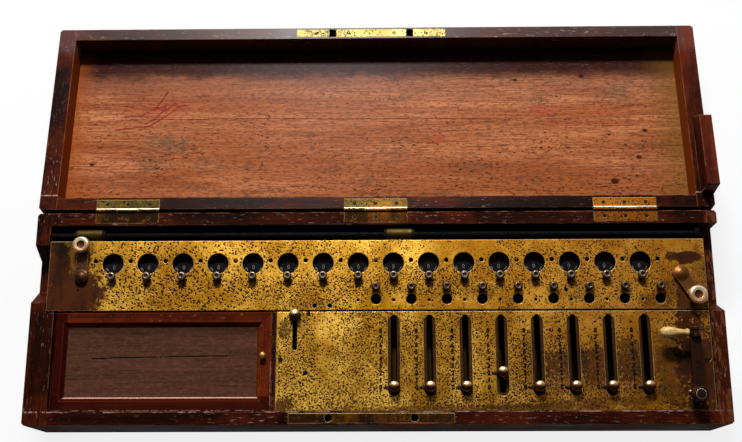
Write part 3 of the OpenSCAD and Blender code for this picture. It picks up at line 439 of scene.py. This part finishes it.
def pitted_brass(name, gold, sunk="#2c1206", shine=0.36, marks=(), frayed=0.0, pits=(), bore=None,
                 pale=None):
    """Gilt brass that has lost its gilding in pits. gold is its two tones and sunk what lies under
    its top; marks are its stains, pits where these are dense, bore an open hole of the carriage
    plate, painted black as its shade, and with it the painted shadows of the result knobs, and
    pale the tone of the lid's strike plate, a painted reflection of the window lamp."""
    f = Finish(name)
    cloud = f.noise(f.where, 24.0, 5.0, 0.65)
    haze = f.drawn(f.where, 44.0, 12.0, 4.0, 0.6)
    dense = f.band(f.noise(f.where, 30.0, 3.0, 0.6), 0.36, 0.64) * 0.6
    for x, y, rx, ry, much in pits:
        dense = f.most(dense, f.spot(x, y, rx, ry, 0.8) * much)
    pit, speck = corroded(f, dense)
    faded = f.band(f.noise(f.where, 150.0, 4.0, 0.7) + dense * 0.04, 0.58, 0.68)
    colour = f.coats(
        f.two_tone(cloud, 0.36, 0.66, *gold),
        (f.span(f.x, 20, 200) * 0.55, "#a85e12"),
        (f.band(haze, 0.46, 0.72) * 0.45, "#94580f"),
        (faded * 0.45, "#7a4c14"),
        (speck * 0.8, "#3e1c05"),
        (pit * 0.97, "#1c0501"))
    spoilt = f.most(speck * 0.35, pit)
    # Faces under the top, in slots, channels and holes, take the darker sunk tone: patina in the
    # hollows, and painted shade
    below = (f.span(f.z, RIM - 0.25, RIM - 0.45) * (f.y < 70 * MM)
             * f.band(f.facing("Z"), -0.8, -0.5))
    rough = f.uneven(cloud, shine, 0.12) + spoilt * 0.25
    metal = 0.95 - spoilt * 0.9 - below * 0.3
    if marks:
        stain = stained(f, marks, frayed)
        deep = f.two_tone(haze + (cloud - 0.5) * 0.5, 0.36, 0.64, "#160701", "#462006")
        colour = f.mix(stain, colour, deep)
        rough, metal = rough + stain * 0.16, metal - stain * 0.45
    # painted reflection: the strike plate gets a paler tone
    if pale:
        strike = f.coats(rgb(pale), (f.band(cloud, 0.40, 0.62) * 0.7, "#7c7446"),
                         (pit * 0.5 + speck * 0.2, "#4a4426"))
        colour = f.mix((f.y > 200 * MM) * 0.9, colour, strike)
    if bore:
        x, y, radius = bore
        # A painted shadow of each result dial's knob, with finger dirt in it, lies in an oval 3.4
        # by 4.8 from its middle, before that dial
        dx, dy = f.in_row(0.5) * (PITCH / 3.4), (f.y - (RESULT_Y - 4.2) * MM) / (4.8 * MM)
        ragged = dx * dx + dy * dy + (f.noise(f.where, 300.0, 3.0) - 0.5) * 0.9
        knob_shadow_and_grime = f.band(ragged, 1.35, 0.45) * (abs(f.x) < 240 * MM)
        # painted shade: the open hole black, and the knobs' shadows with their dirt dark brown
        colour = f.coats(colour, (f.spot(x, y, radius, radius, 0.25), "#070403"),
                         (knob_shadow_and_grime * 0.7, "#1c0c03"))
    colour = f.coats(colour, (below * 0.92, sunk))
    if pale:
        # painted highlight: a near-white line along the hinge knuckles
        knuckle_highlight = f.span(abs(f.y - 93.5 * MM), 1.0, 0.5)
        colour = f.coats(colour, (knuckle_highlight, "#fff4d4"))
    worn, eased = f.edges(0.9)
    colour = f.coats(colour, (worn * (1 - below) * 0.8, "#f2d48c"))
    dent = 0.5 - speck * 0.4 - pit * 0.9 + f.noise(f.where, 45.0, 3.0) * 0.5
    return f.close(colour, rough, dent, 0.10, eased,
                   **{"Metallic": metal, "Specular IOR Level": 0.12})


def worn_metal(name, base, bright, deep, shine, metal=0.95, speckle=1.0):
    """Turned or filed metal in two cloudy tones, with painted light on faces that look up, and
    bright rubbed edges.
    """
    f = Finish(name)
    cloud = f.noise(f.where, 120.0, 4.0, 0.6)
    worn, eased = f.edges(0.8)
    spot = f.band(f.noise(f.where, 700.0, 2.0, 0.6), 0.64, 0.70) * speckle
    colour = f.coats(
        f.two_tone(cloud, 0.34, 0.68, base, deep),
        # painted light: faces that look up are lighter
        (f.band(f.facing("Z"), 0.35, 0.95) * 0.6, bright),
        (worn * 0.6, bright),
        (spot * 0.6, "#2a1a10"))
    rough = f.uneven(cloud, shine, 0.16) + spot * 0.2
    return f.close(colour, rough, cloud * 0.4 - spot * 0.6, 0.08, eased, Metallic=metal)


def knob_top(f, dx, dy, hollow, rim):
    """1 in the hollow of a knob's top, and 1 on the ring round it, where a highlight is painted; dx
    and dy from its axis.
    """
    away = f.calc("SQRT", dx * dx + dy * dy)
    ring = f.span(away, hollow - 0.2, hollow + 0.3) * f.span(away, rim + 0.4, rim - 0.2)
    return f.span(away, hollow, hollow - 0.5), ring


def slide_metal(name, knob_z, base="#7e4618", deep="#4a260b", bright="#fad094"):
    """A slide: bronze knob with a painted highlight on its top and rear, its stem and pointer
    nearly black.
    """
    f = Finish(name)
    cloud = f.noise(f.where, 160.0, 4.0, 0.6)
    lit = f.facing("Y") * 0.8 + f.facing("Z") * 0.45
    worn, eased = f.edges(0.8)
    under = f.span(f.z, knob_z + 0.25, knob_z - 0.25)
    colour = f.coats(
        f.two_tone(cloud, 0.34, 0.68, base, deep),
        # painted highlight: the knob lighter where it faces up and to the rear
        (f.band(lit, 0.36, 0.74), bright),
        (worn * 0.3, "#ecc38c"),
        (under, "#120c08"))
    rough = f.uneven(cloud, 0.20, 0.14) + under * 0.25
    return f.close(colour, rough, cloud * 0.4, 0.06, eased, Metallic=0.95 - under * 0.5)


def dial_metal(name, disc_low, disc_high, first, knob_y, ring_highlight):
    """A dial: bronze finger knob with a painted highlight on the ring round its hollow, and a
    near-black disc between two heights, painted dark as the shade under the plate. One dial of the
    row is at first, in places, and ring_highlight is how much the ring's painted highlight shows."""
    f = Finish(name)
    cloud = f.noise(f.where, 150.0, 4.0, 0.6)
    hollow, ring = knob_top(f, f.in_row(first) * (PITCH * MM), f.y - knob_y * MM, 1.7, 3.6)
    top = f.z > (RIM + 1.0) * MM
    worn, eased = f.edges(0.7)
    knob = f.coats(
        f.two_tone(cloud, 0.34, 0.68, "#4e2c16", "#2c180b"),
        # painted highlight on the ring round the knob's hollow
        (ring * top * ring_highlight, "#9c8f7c"),
        (hollow * top * 0.8, "#33211a"),
        (worn * 0.5, "#c8b498"))
    black = (f.z > disc_low * MM) * (f.z < disc_high * MM)
    # the disc is painted near black as the shade it lies in under the plate
    shaded_disc = f.two_tone(cloud, 0.4, 0.7, "#070606", "#100e0d")
    colour = f.coats(f.mix(black, knob, shaded_disc), (f.z < disc_low * MM, "#2c2010"))
    rough = f.uneven(cloud, 0.30, 0.16) + black * 0.20
    return f.close(colour, rough, cloud * 0.4, 0.06, eased,
                   **{"Metallic": 0.92 - black * 0.92, "Specular IOR Level": 0.06})


def zero_metal(name, knobs):
    """A zeroing crank: brown arm, and a painted highlight on a ring round the dark hollow of its
    knob, brightest on the far side.
    """
    f = Finish(name)
    cloud = f.noise(f.where, 130.0, 4.0, 0.6)
    worn, eased = f.edges(1.0)
    colour = f.coats(
        f.two_tone(cloud, 0.34, 0.68, "#5e3a1a", "#321a0b"),
        ((f.x > 0.0) * 0.5, "#84501e"),
        (worn * 0.85, "#dcb47a"))
    high = f.z > (RIM + 6.0) * MM
    for x, y, radius in knobs:
        dx, dy = f.x - x * MM, f.y - y * MM
        hollow, ring = knob_top(f, dx, dy, radius * 0.42, radius)
        far_side_highlight = f.band(dy / (radius * MM), -0.2, 0.7)
        # painted highlight: the ring round the hollow pale, palest on its far side
        colour = f.coats(
            colour,
            (ring * high * 0.8, "#d8a878"),
            (ring * high * far_side_highlight * 0.9, "#f6dcb8"),
            (hollow * high * 0.9, "#5c2c14"))
    spot = f.band(f.noise(f.where, 500.0, 2.0, 0.6), 0.62, 0.68)
    colour = f.coats(colour, (spot * 0.5, "#2a160a"))
    rough = f.uneven(cloud, 0.30, 0.16) + spot * 0.2
    return f.close(colour, rough, cloud * 0.4 - spot * 0.5, 0.08, eased, Metallic=0.8)


def crank_metal(name):
    """The crank: dark brown arm and fork, steel shaft below, a painted highlight on the nut's edge,
    and rubbed edges.
    """
    f = Finish(name)
    cloud = f.noise(f.where, 110.0, 4.0, 0.6)
    pit = f.band(f.noise(f.where, 520.0, 2.0, 0.6), 0.62, 0.69)
    worn, eased = f.edges(0.9)
    dx, dy = f.x - CRANK[0] * MM, f.y - CRANK[1] * MM
    nut = f.band(dx * dx + dy * dy, (5.3 * MM) ** 2, (4.6 * MM) ** 2)
    # painted highlight: a near-white ring on the nut's edge
    nut_highlight = nut * f.band(worn, 0.0, 0.35)
    colour = f.coats(
        f.two_tone(cloud, 0.34, 0.68, "#3c1e0d", "#200f07"),
        (pit * 0.6, "#120905"),
        (worn * 0.45, "#8a6236"),
        (nut_highlight, "#fff6e6"),
        (f.z < 73.5 * MM, "#4a4038"))
    rough = f.uneven(cloud, 0.32, 0.18) + pit * 0.2
    return f.close(colour, rough, cloud * 0.4 - pit * 0.6, 0.10, eased,
                   Metallic=0.85 - nut_highlight * 0.7)


def handle_bone(name):
    """The crank's handle: yellowed bone with brown checks, on a brown metal tang."""
    f = Finish(name)
    streak = f.drawn(f.where, 60.0, 700.0, 3.0, 0.6)
    check = f.band(f.drawn(f.where, 40.0, 900.0, 2.0, 0.6), 0.64, 0.70)
    tip = f.span(f.x, CRANK[0] - 27.5, CRANK[0] - 32.0)
    tang = f.x > (CRANK[0] - 5.55) * MM
    colour = f.coats(
        f.two_tone(streak, 0.35, 0.7, "#dcb978", "#b08444"),
        (check * 0.7, "#5a3a1a"),
        (tip * 0.8, "#50300f"),
        (tang, "#3c2412"))
    eased = f.edges(0.7)[1]
    return f.close(colour, f.uneven(streak, 0.26, 0.15), streak * 0.3 - check * 0.5, 0.10, eased,
                   Metallic=tang * 0.85)


def plain(name, a, b, scale, rough, metal=0.0, sheen=0.5):
    """A quiet two-tone finish for parts deep inside, small screws and figures."""
    f = Finish(name)
    cloud = f.noise(f.where, scale, 3.0, 0.6)
    return f.close(f.two_tone(cloud, 0.35, 0.7, a, b), f.uneven(cloud, rough, 0.2), cloud * 0.3,
                   0.05, **{"Metallic": metal, "Specular IOR Level": sheen})


# Brown stains of the two plates, and where their pits are dense: x, y, half-widths, strength
CARRIAGE_MARKS = (
    (-254, 20, 27, 21, 1.0), (-262, 44, 22, 30, 0.8), (-270, 30, 13, 44, 1.0),
    (-247, 58, 9, 8, 0.6), (262, 49, 13, 5, 1.0), (251, 50, 7, 4, 0.9), (259, 14, 9, 14, 0.95),
    (247, 20, 7, 10, 0.6), (272, 30, 6, 34, 0.6), (-60, 10, 20, 5, 0.3), (90, 20, 10, 6, 0.4),
    (175, 20, 14, 7, 0.4), (235, 12, 16, 6, 0.5))
CARRIAGE_PITS = (
    (-170, 24, 90, 22, 1.0), (-190, 38, 60, 30, 0.9), (-60, 20, 60, 18, 0.9),
    (-100, 58, 80, 8, 0.7), (60, 30, 80, 16, 0.75), (160, 40, 60, 20, 0.65),
    (230, 20, 50, 14, 0.7))
FRONT_MARKS = (
    (258, -30, 12, 52, 1.0), (250, -44, 20, 40, 0.8), (273, -54, 15, 42, 1.0),
    (236, -40, 12, 30, 0.6), (178, -42, 44, 14, 0.85), (150, -48, 12, 16, 0.6),
    (208, -38, 12, 20, 0.75), (178, -56, 50, 7, 0.45), (128, -34, 8, 20, 0.35),
    (233, -40, 7, 18, 0.6), (130, -76, 60, 2.6, 0.8), (190, -72, 40, 3.5, 0.65),
    (-76, -12, 5, 8, 0.7), (-76, -74, 8, 7, 0.9), (40, -77, 60, 2.4, 0.7), (225, -66, 20, 8, 0.5))
FRONT_PITS = (
    (-66, -38, 18, 46, 1.0), (-40, -72, 46, 14, 1.0), (120, -44, 16, 36, 1.0),
    (150, -44, 20, 34, 1.0), (178, -50, 16, 30, 1.0), (205, -50, 16, 26, 1.0),
    (90, -72, 80, 9, 1.0), (0, -30, 40, 50, 0.85), (60, -30, 40, 50, 0.8))

finishes = {
    "rails": dark_polish("dark_mahogany_case", -270.0, 278.0),
    "lid_walls": dark_polish("dark_mahogany_lid", -275.0, 275.0, lid_wall=275.0),
    "lid_board": bare_board("lid_board_mahogany"),
    "cover": cover_wood("cover_red_mahogany", (-269.5, -86.7), (-78.7, 3.1), 12.0),
    "bottom": plain("inner_wood", "#21130c", "#150b07", 60.0, 0.6),
    "case_brass": pitted_brass("case_brass_dark", ("#1c0f06", "#2e1a08"), "#150a04", 0.46),
    "lid_brass": pitted_brass("lid_brass_olive", ("#2c230c", "#584920"), "#2c230c", 0.46,
                              pale="#a8955a"),
    "carriage_plate": pitted_brass("carriage_plate_brass", ("#ba8018", "#eab444"), "#160b05",
                                   marks=CARRIAGE_MARKS, pits=CARRIAGE_PITS,
                                   bore=(159.2, 21.5, 1.7)),
    "front_plate": pitted_brass("front_plate_brass", ("#bd841c", "#f0bc4c"),
                                marks=FRONT_MARKS, frayed=3.6, pits=FRONT_PITS),
    # The mechanism's brass and steel are painted dark, as the shade they stand in inside the case
    "frame": worn_metal("frame_brass", "#33250f", "#4a3818", "#1c1408", 0.42),
    "steel": worn_metal("oiled_steel_shaded", "#1c1815", "#322b26", "#100d0b", 0.36),
    "slides": slide_metal("slide_knob_bronze", 66.6),
    "zero_cranks": zero_metal("zero_crank_bronze", ((-248.5, 59.7, 7.2), (266.5, 14.7, 7.9))),
    # The rod and sleeves are painted near black, as the shade of the gap behind the carriage
    "rod": plain("rod_steel_shaded", "#0a0808", "#050404", 200.0, 0.6, sheen=0.06),
    "sleeves": plain("sleeve_brass_shaded", "#1c1307", "#0d0804", 150.0, 0.55, 0.3, 0.1),
    "bright": worn_metal("bright_steel", "#b8b0a0", "#fff6e4", "#8a8274", 0.24, 0.6, 0.2),
    "pegs": worn_metal("peg_bronze", "#22120a", "#4a2c18", "#120a06", 0.40, 0.8),
    "crank": crank_metal("crank_bronze"),
    "handle": handle_bone("crank_handle_bone"),
    "lever": slide_metal("lever_knob", 64.2, "#7c6234", "#3c2a12", "#fff0bc"),
    "result_dials": dial_metal("result_dial_finish", 56.3, 59.45, 0.5, RESULT_Y, 0.55),
    "counter_dials": dial_metal("counter_dial_finish", 52.5, 55.65, 0.0, COUNTER_Y, 0.2),
    "screws": plain("screw_steel", "#0c0a08", "#1a1510", 400.0, 0.45, 0.3, 0.12),
    "brass_screws": plain("screw_brass", "#160f06", "#30240f", 400.0, 0.45, 0.3, 0.12),
    "engraving": plain("engraving_black", "#060302", "#0d0704", 300.0, 0.7, sheen=0.1),
    # the dial figures are greyed as painted shade
    "figures": plain("figure_white", "#6a655a", "#4a463e", 300.0, 0.55),
}

# The finish of every CAD node, by its name without the number
FINISH_OF = {
    "case_boards": "rails", "lid_walls": "lid_walls", "lid_board": "lid_board",
    "case_bottom": "bottom", "case_brass": "case_brass", "lid_brass": "lid_brass",
    "compartment_cover": "cover", "front_plate": "front_plate", "mechanism_frame": "frame",
    "drive_shaft": "steel", "stepped_drum": "frame", "slide": "slides", "crank": "crank",
    "crank_handle": "handle", "operation_lever": "lever", "carriage_rod": "rod",
    "carriage_sleeves": "sleeves", "carriage_plate": "carriage_plate",
    "carriage_frame": "frame", "zero_crank_left": "zero_cranks",
    "zero_crank_right": "zero_cranks", "result_dial": "result_dials",
    "counter_dial": "counter_dials",
}
for name, part in NODES.items():
    if not part.material_slots:
        part.data.materials.append(None)
    for each in part.material_slots:
        each.material = finishes[FINISH_OF[name.rstrip("_0123456789")]]


# Pieces

def mesh_of(name, points, faces):
    """A mesh from points in millimetres."""
    mesh = bpy.data.meshes.new(name)
    mesh.from_pydata([Vector(p) * MM for p in points], [], faces)
    mesh.update()
    return mesh


def show(name, data):
    """Puts a mesh, lamp, camera or text in the scene."""
    obj = bpy.data.objects.new(name, data)
    bpy.context.scene.collection.objects.link(obj)
    return obj


def add_piece(name, mesh, body, finish=None):
    """Puts a mesh in the scene as a piece that rides on a body."""
    obj = show(name, mesh)
    if finish is not None:
        mesh.materials.clear()
        mesh.materials.append(finishes[finish])
    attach(obj, body)
    return obj


def baked(obj):
    """What an object's modifiers or text make, as a mesh of its own."""
    return bpy.data.meshes.new_from_object(
        obj.evaluated_get(bpy.context.evaluated_depsgraph_get()))


def screw_tree():
    """Slotted screw heads on every point of a mesh, turned at random, each facing its normal."""
    tree = bpy.data.node_groups.new("slotted_screws", "GeometryNodeTree")
    face = tree.interface
    face.new_socket("Points", in_out="INPUT", socket_type="NodeSocketGeometry")
    for label in ("Head Radius", "Head Height", "Slot Width"):
        face.new_socket(label, in_out="INPUT", socket_type="NodeSocketFloat")
    face.new_socket("Seed", in_out="INPUT", socket_type="NodeSocketInt")
    face.new_socket("Material", in_out="INPUT", socket_type="NodeSocketMaterial")
    face.new_socket("Screws", in_out="OUTPUT", socket_type="NodeSocketGeometry")
    g = Sheet(tree)
    points, radius, height, width, seed, material = (
        g.add("NodeGroupInput", out=label)
        for label in ("Points", "Head Radius", "Head Height", "Slot Width", "Seed", "Material"))
    head = g.add("GeometryNodeMeshCylinder", {}, {"Vertices": 20, "Radius": radius,
                                                  "Depth": height})
    bar = g.add("ShaderNodeCombineXYZ", {}, {0: radius * 3.0, 1: width, 2: height})
    cutter = g.add("GeometryNodeMeshCube", {}, {"Size": bar})
    lift = g.add("ShaderNodeCombineXYZ", {}, {2: height * 0.55})
    raised = g.add("GeometryNodeTransform", {}, {"Geometry": cutter, "Translation": lift})
    cut = g.add("GeometryNodeMeshBoolean", {"operation": "DIFFERENCE"}, {0: head, 1: raised})
    facing = g.add("GeometryNodeInputNamedAttribute", {"data_type": "FLOAT_VECTOR"},
                   {"Name": "facing"})
    align = g.add("FunctionNodeAlignRotationToVector", {"axis": "Z"}, {"Vector": facing})
    angle = g.add("FunctionNodeRandomValue", {"data_type": "FLOAT"},
                  {2: 0.0, 3: math.pi, "Seed": seed}, out=1)
    spin = g.add("FunctionNodeAxisAngleToRotation", {}, {"Axis": UP, "Angle": angle})
    rotation = g.add("FunctionNodeRotateRotation", {"rotation_space": "LOCAL"},
                     {0: align, 1: spin})
    placed = g.add("GeometryNodeInstanceOnPoints", {},
                   {"Points": points, "Instance": cut, "Rotation": rotation})
    real = g.add("GeometryNodeRealizeInstances", {}, {"Geometry": placed})
    painted = g.add("GeometryNodeSetMaterial", {}, {"Geometry": real, "Material": material})
    g.add("NodeGroupOutput", {}, {0: painted})
    return tree


SCREWS = screw_tree()


def add_screws(name, places, body, radius, height, finish, seed):
    """Screw heads; places holds a point and the direction that the head there faces."""
    mesh = mesh_of(name + "_points", [p for p, _ in places], [])
    facing = mesh.attributes.new("facing", "FLOAT_VECTOR", "POINT")
    for k, (_, d) in enumerate(places):
        facing.data[k].vector = Vector(d).normalized()
    carrier = show(name + "_points", mesh)
    modifier = carrier.modifiers.new("screws", "NODES")
    modifier.node_group = SCREWS
    ident = {s.name: s.identifier for s in SCREWS.interface.items_tree if s.in_out == "INPUT"}
    for label, value in (("Head Radius", radius * MM), ("Head Height", height * MM),
                         ("Slot Width", radius * 0.28 * MM), ("Seed", seed),
                         ("Material", finishes[finish])):
        modifier[ident[label]] = value
    result = baked(carrier)
    carrier.modifiers.remove(modifier)
    bpy.data.objects.remove(carrier)
    result.name = name
    return add_piece(name, result, body)


LEAF_PITCH, LEAF_SCREW_PITCH = 213, 18       # between the three hinges, and their leaves' screws
LEAF_Y, LOCK_Y = 85.5, -84.5                 # rows of screws in the leaves and the lock plate
CASE_SCREW_Z = RIM - 0.31                    # middle of a head that stands just proud of its leaf
LID_SCREW_Z = RIM + 0.41                     # the same on the shut lid's leaves


def opened(point):
    """A point of the closed lid, where the open lid has it."""
    y, z = HINGE_AXIS
    turn = Matrix.Rotation(math.radians(-LID_OPEN), 4, "X")
    return Matrix.Translation((0, y, z)) @ turn @ Matrix.Translation((0, -y, -z)) @ Vector(point)


def on_lid(x, y):
    """A screw's place and direction on the open lid, from where it is when the lid is shut."""
    foot, tip = opened((x, y, LID_SCREW_Z)), opened((x, y, LID_SCREW_Z - 1.0))
    return foot, tip - foot


leaf_x = [k * LEAF_PITCH + s * LEAF_SCREW_PITCH for k in (-1, 0, 1) for s in (-1, 0, 1)]
case_places = ([((x, LEAF_Y, CASE_SCREW_Z), UP) for x in leaf_x]
               + [((x, LOCK_Y, CASE_SCREW_Z), UP) for x in (-67, -4, 59)])
lid_places = [on_lid(x, LEAF_Y) for x in leaf_x] + [on_lid(x, LOCK_Y) for x in (-54, -25, 17, 46)]
plate_places = [((x, y, RIM), UP)
                for x, y in ((-78.9, -36.9), (-56.5, 1.7), (-58.6, -47.7), (272.2, -38))]
arm_place = [((CRANK[0], CRANK[1] + 26.5, 78.2), UP)]
add_screws("case_leaf_screws", case_places, "case", 1.7, 0.7, "brass_screws", 3)
add_screws("lid_leaf_screws", lid_places, "lid", 1.7, 0.7, "brass_screws", 4)
add_screws("front_plate_screws", plate_places, "case", 1.9, 0.5, "screws", 5)
add_screws("arm_screw", arm_place, "crank_arm", 1.2, 0.8, "screws", 6)


def add_pins(name, places, body, finish, sides=14):
    """Small turned pins with a domed top; places holds x, y, foot height, radius and length."""
    points, faces = [], []
    for x, y, foot, r, tall in places:
        outline = ((r, 0.0), (r, tall * 0.55), (r * 0.92, tall * 0.8), (r * 0.6, tall * 0.96),
                   (r * 0.2, tall))
        at = len(points)
        for radius, z in outline:
            for k in range(sides):
                a = k * math.tau / sides
                points.append((x + radius * math.cos(a), y + radius * math.sin(a), foot + z))
        for low in range(at, len(points) - sides, sides):
            for k in range(sides):
                nxt = (k + 1) % sides
                faces.append((low + k, low + nxt, low + sides + nxt, low + sides + k))
        faces.append(tuple(range(len(points) - sides, len(points))))
        faces.append(tuple(reversed(range(at, at + sides))))
    mesh = mesh_of(name, points, faces)
    for each in mesh.polygons:
        each.use_smooth = len(each.vertices) == 4
    return add_piece(name, mesh, body, finish)


PEG_PLACES = (5, 9, 13)      # holes that hold a decimal peg, from the left; the middle one is 9
add_pins("stop_pin", [(255.6, -63.9, RIM - 0.3, 1.1, 3.6)], "case", "bright")
add_pins("zero_stop_pin", [(-251.1, 23.3, RIM - 0.3, 0.9, 1.3)], "carriage", "pegs")
add_pins("decimal_pegs", [((h - 9) * PITCH, PEG_Y, RIM - 0.6, 1.7, 1.5) for h in PEG_PLACES],
         "carriage", "pegs")


# Figures

NARROW = 0.86                # width of a figure against the letter form's own
FIGURE_LEFT = 11.2           # from a slot's middle to the figures beside it


def glyphs(bold):
    """The ten figures as flat meshes one unit high, centred on their middles."""
    made = []
    for n in range(10):
        curve = bpy.data.curves.new("figure_%d" % n, "FONT")
        curve.body = str(n)
        curve.align_x, curve.align_y = "CENTER", "CENTER"
        curve.resolution_u = 3
        curve.offset = bold
        text = show("figure_%d" % n, curve)
        flat = baked(text)
        bpy.data.objects.remove(text)
        points = [v.co.copy() for v in flat.vertices]
        top, low = max(p.y for p in points), min(p.y for p in points)
        left, right = min(p.x for p in points), max(p.x for p in points)
        centre = Vector(((left + right) / 2, (top + low) / 2, 0))
        scale = 1 / (top - low)
        made.append(([(p - centre) * scale for p in points],
                     [tuple(f.vertices) for f in flat.polygons]))
        bpy.data.meshes.remove(flat)
    return made


def set_figures(name, shapes, places, body, finish):
    """Flat figures; places holds the figure, x, y, z, its height and its turn in radians."""
    points, faces = [], []
    for n, x, y, z, tall, turn in places:
        c, s = math.cos(turn), math.sin(turn)
        verts, polys = shapes[n]
        faces += [tuple(len(points) + k for k in poly) for poly in polys]
        for p in verts:
            px, py = p.x * tall * NARROW, p.y * tall
            points.append((x + px * c - py * s, y + px * s + py * c, z))
    return add_piece(name, mesh_of(name, points, faces), body, finish)


bold_figures, light_figures = glyphs(0.075), glyphs(0.0)
slot_places = [(n, (i + 0.5) * PITCH - FIGURE_LEFT, ZERO_Y + n * STEP, RIM + 0.02, 4.5, 0.0)
               for i in range(8) for n in range(10)]
set_figures("slot_figures", bold_figures, slot_places, "case", "engraving")
# Rows of dials: how many, name, y of the axes, the figures' radius, height and size, first place
for count, stem, y, radius, z, tall, first in (
        (16, "result_dial", RESULT_Y, 9.8, 59.02, 3.6, -7.5),
        (9, "counter_dial", COUNTER_Y, 10.4, 55.22, 3.2, 0)):
    for i in range(count):
        x = (i + first) * PITCH
        ring = [(n, x - radius * math.sin(turn), y + radius * math.cos(turn), z, tall, turn)
                for n, turn in ((n, -n * math.tau / 10) for n in range(10))]
        body = "%s_%d" % (stem, i + 1)
        set_figures("figures_on_" + body, light_figures, ring, body, "figures")


# Stage, light and camera

def stage_finish():
    """A pale floor that looks nearly white to the camera, and still takes the shadow."""
    f = Finish("pale_floor")
    seen, glossy, through = (f.add("ShaderNodeLightPath", out="Is %s Ray" % kind)
                             for kind in ("Camera", "Glossy", "Transmission"))
    matt = f.add("ShaderNodeBsdfDiffuse", {}, {"Color": (0.78, 0.78, 0.78, 1)})
    glow = f.add("ShaderNodeEmission", {}, {"Color": (1, 1, 1, 1), "Strength": 1.0})
    white = f.most(f.most(glossy, through), seen) * 0.84
    shader = f.add("ShaderNodeMixShader", {}, {0: white, 1: matt, 2: glow})
    f.add("ShaderNodeOutputMaterial", {}, {0: shader})
    return f.material


FLOOR_HALF, FLOOR_Z = 4000, -0.3
corners = [(sx * FLOOR_HALF, sy * FLOOR_HALF, FLOOR_Z)
           for sx, sy in ((-1, -1), (1, -1), (1, 1), (-1, 1))]
floor = show("floor", mesh_of("floor", corners, [(0, 1, 2, 3)]))
floor.data.materials.append(stage_finish())

# The world is dark towards the user and grey behind the machine, where the window is
world = bpy.data.worlds.new("studio")
bpy.context.scene.world = world
world.use_nodes = True
sky = Sheet(world.node_tree)
way = sky.add("ShaderNodeSeparateXYZ", ins={0: sky.add("ShaderNodeTexCoord", out="Generated")},
              out="Y")
tone = sky.mix(sky.band(way, -0.30, 0.70), (0.02, 0.02, 0.022, 1), (0.45, 0.45, 0.45, 1))
lit = sky.add("ShaderNodeBackground", {}, {"Color": tone, "Strength": 1.0})
sky.add("ShaderNodeOutputWorld", {}, {0: lit})

WINDOW_AT, WINDOW_AIM = Vector((-0.12, 1.20, 1.20)), Vector((0, 0.08, 0.03))
lamp = bpy.data.lights.new("window", "AREA")
lamp.shape = "RECTANGLE"
lamp.size, lamp.size_y = 0.40, 0.18
lamp.energy = 35
window = show("window", lamp)
window.location = WINDOW_AT
window.rotation_euler = (WINDOW_AIM - WINDOW_AT).to_track_quat("-Z", "Y").to_euler()

# The photo's camera: its place, its angles, and its focal length in pixels of a 742-pixel width
CAMERA_AT = (0.0087, -0.1749, 0.9799)
FOCAL, PHOTO_WIDTH, SENSOR = 1113.9, 742, 36.0
down, yaw, roll = math.radians(74.32), math.radians(2.84), math.radians(-3.03)
swing = Matrix.Rotation(yaw, 3, "Z")
ahead = swing @ Vector((0, math.cos(down), -math.sin(down)))
over = swing @ Vector((0, math.sin(down), math.cos(down)))
side = swing @ Vector((1, 0, 0))
across = side * math.cos(roll) + over * math.sin(roll)
upright = over * math.cos(roll) - side * math.sin(roll)
lens = bpy.data.cameras.new("camera")
lens.sensor_width = SENSOR
lens.lens = FOCAL / PHOTO_WIDTH * SENSOR
camera = show("camera", lens)
axes = Matrix((across, upright, -ahead)).transposed()
camera.matrix_world = Matrix.Translation(CAMERA_AT) @ axes.to_4x4()
bpy.context.scene.camera = camera
bpy.context.scene.view_settings.view_transform = "Standard"
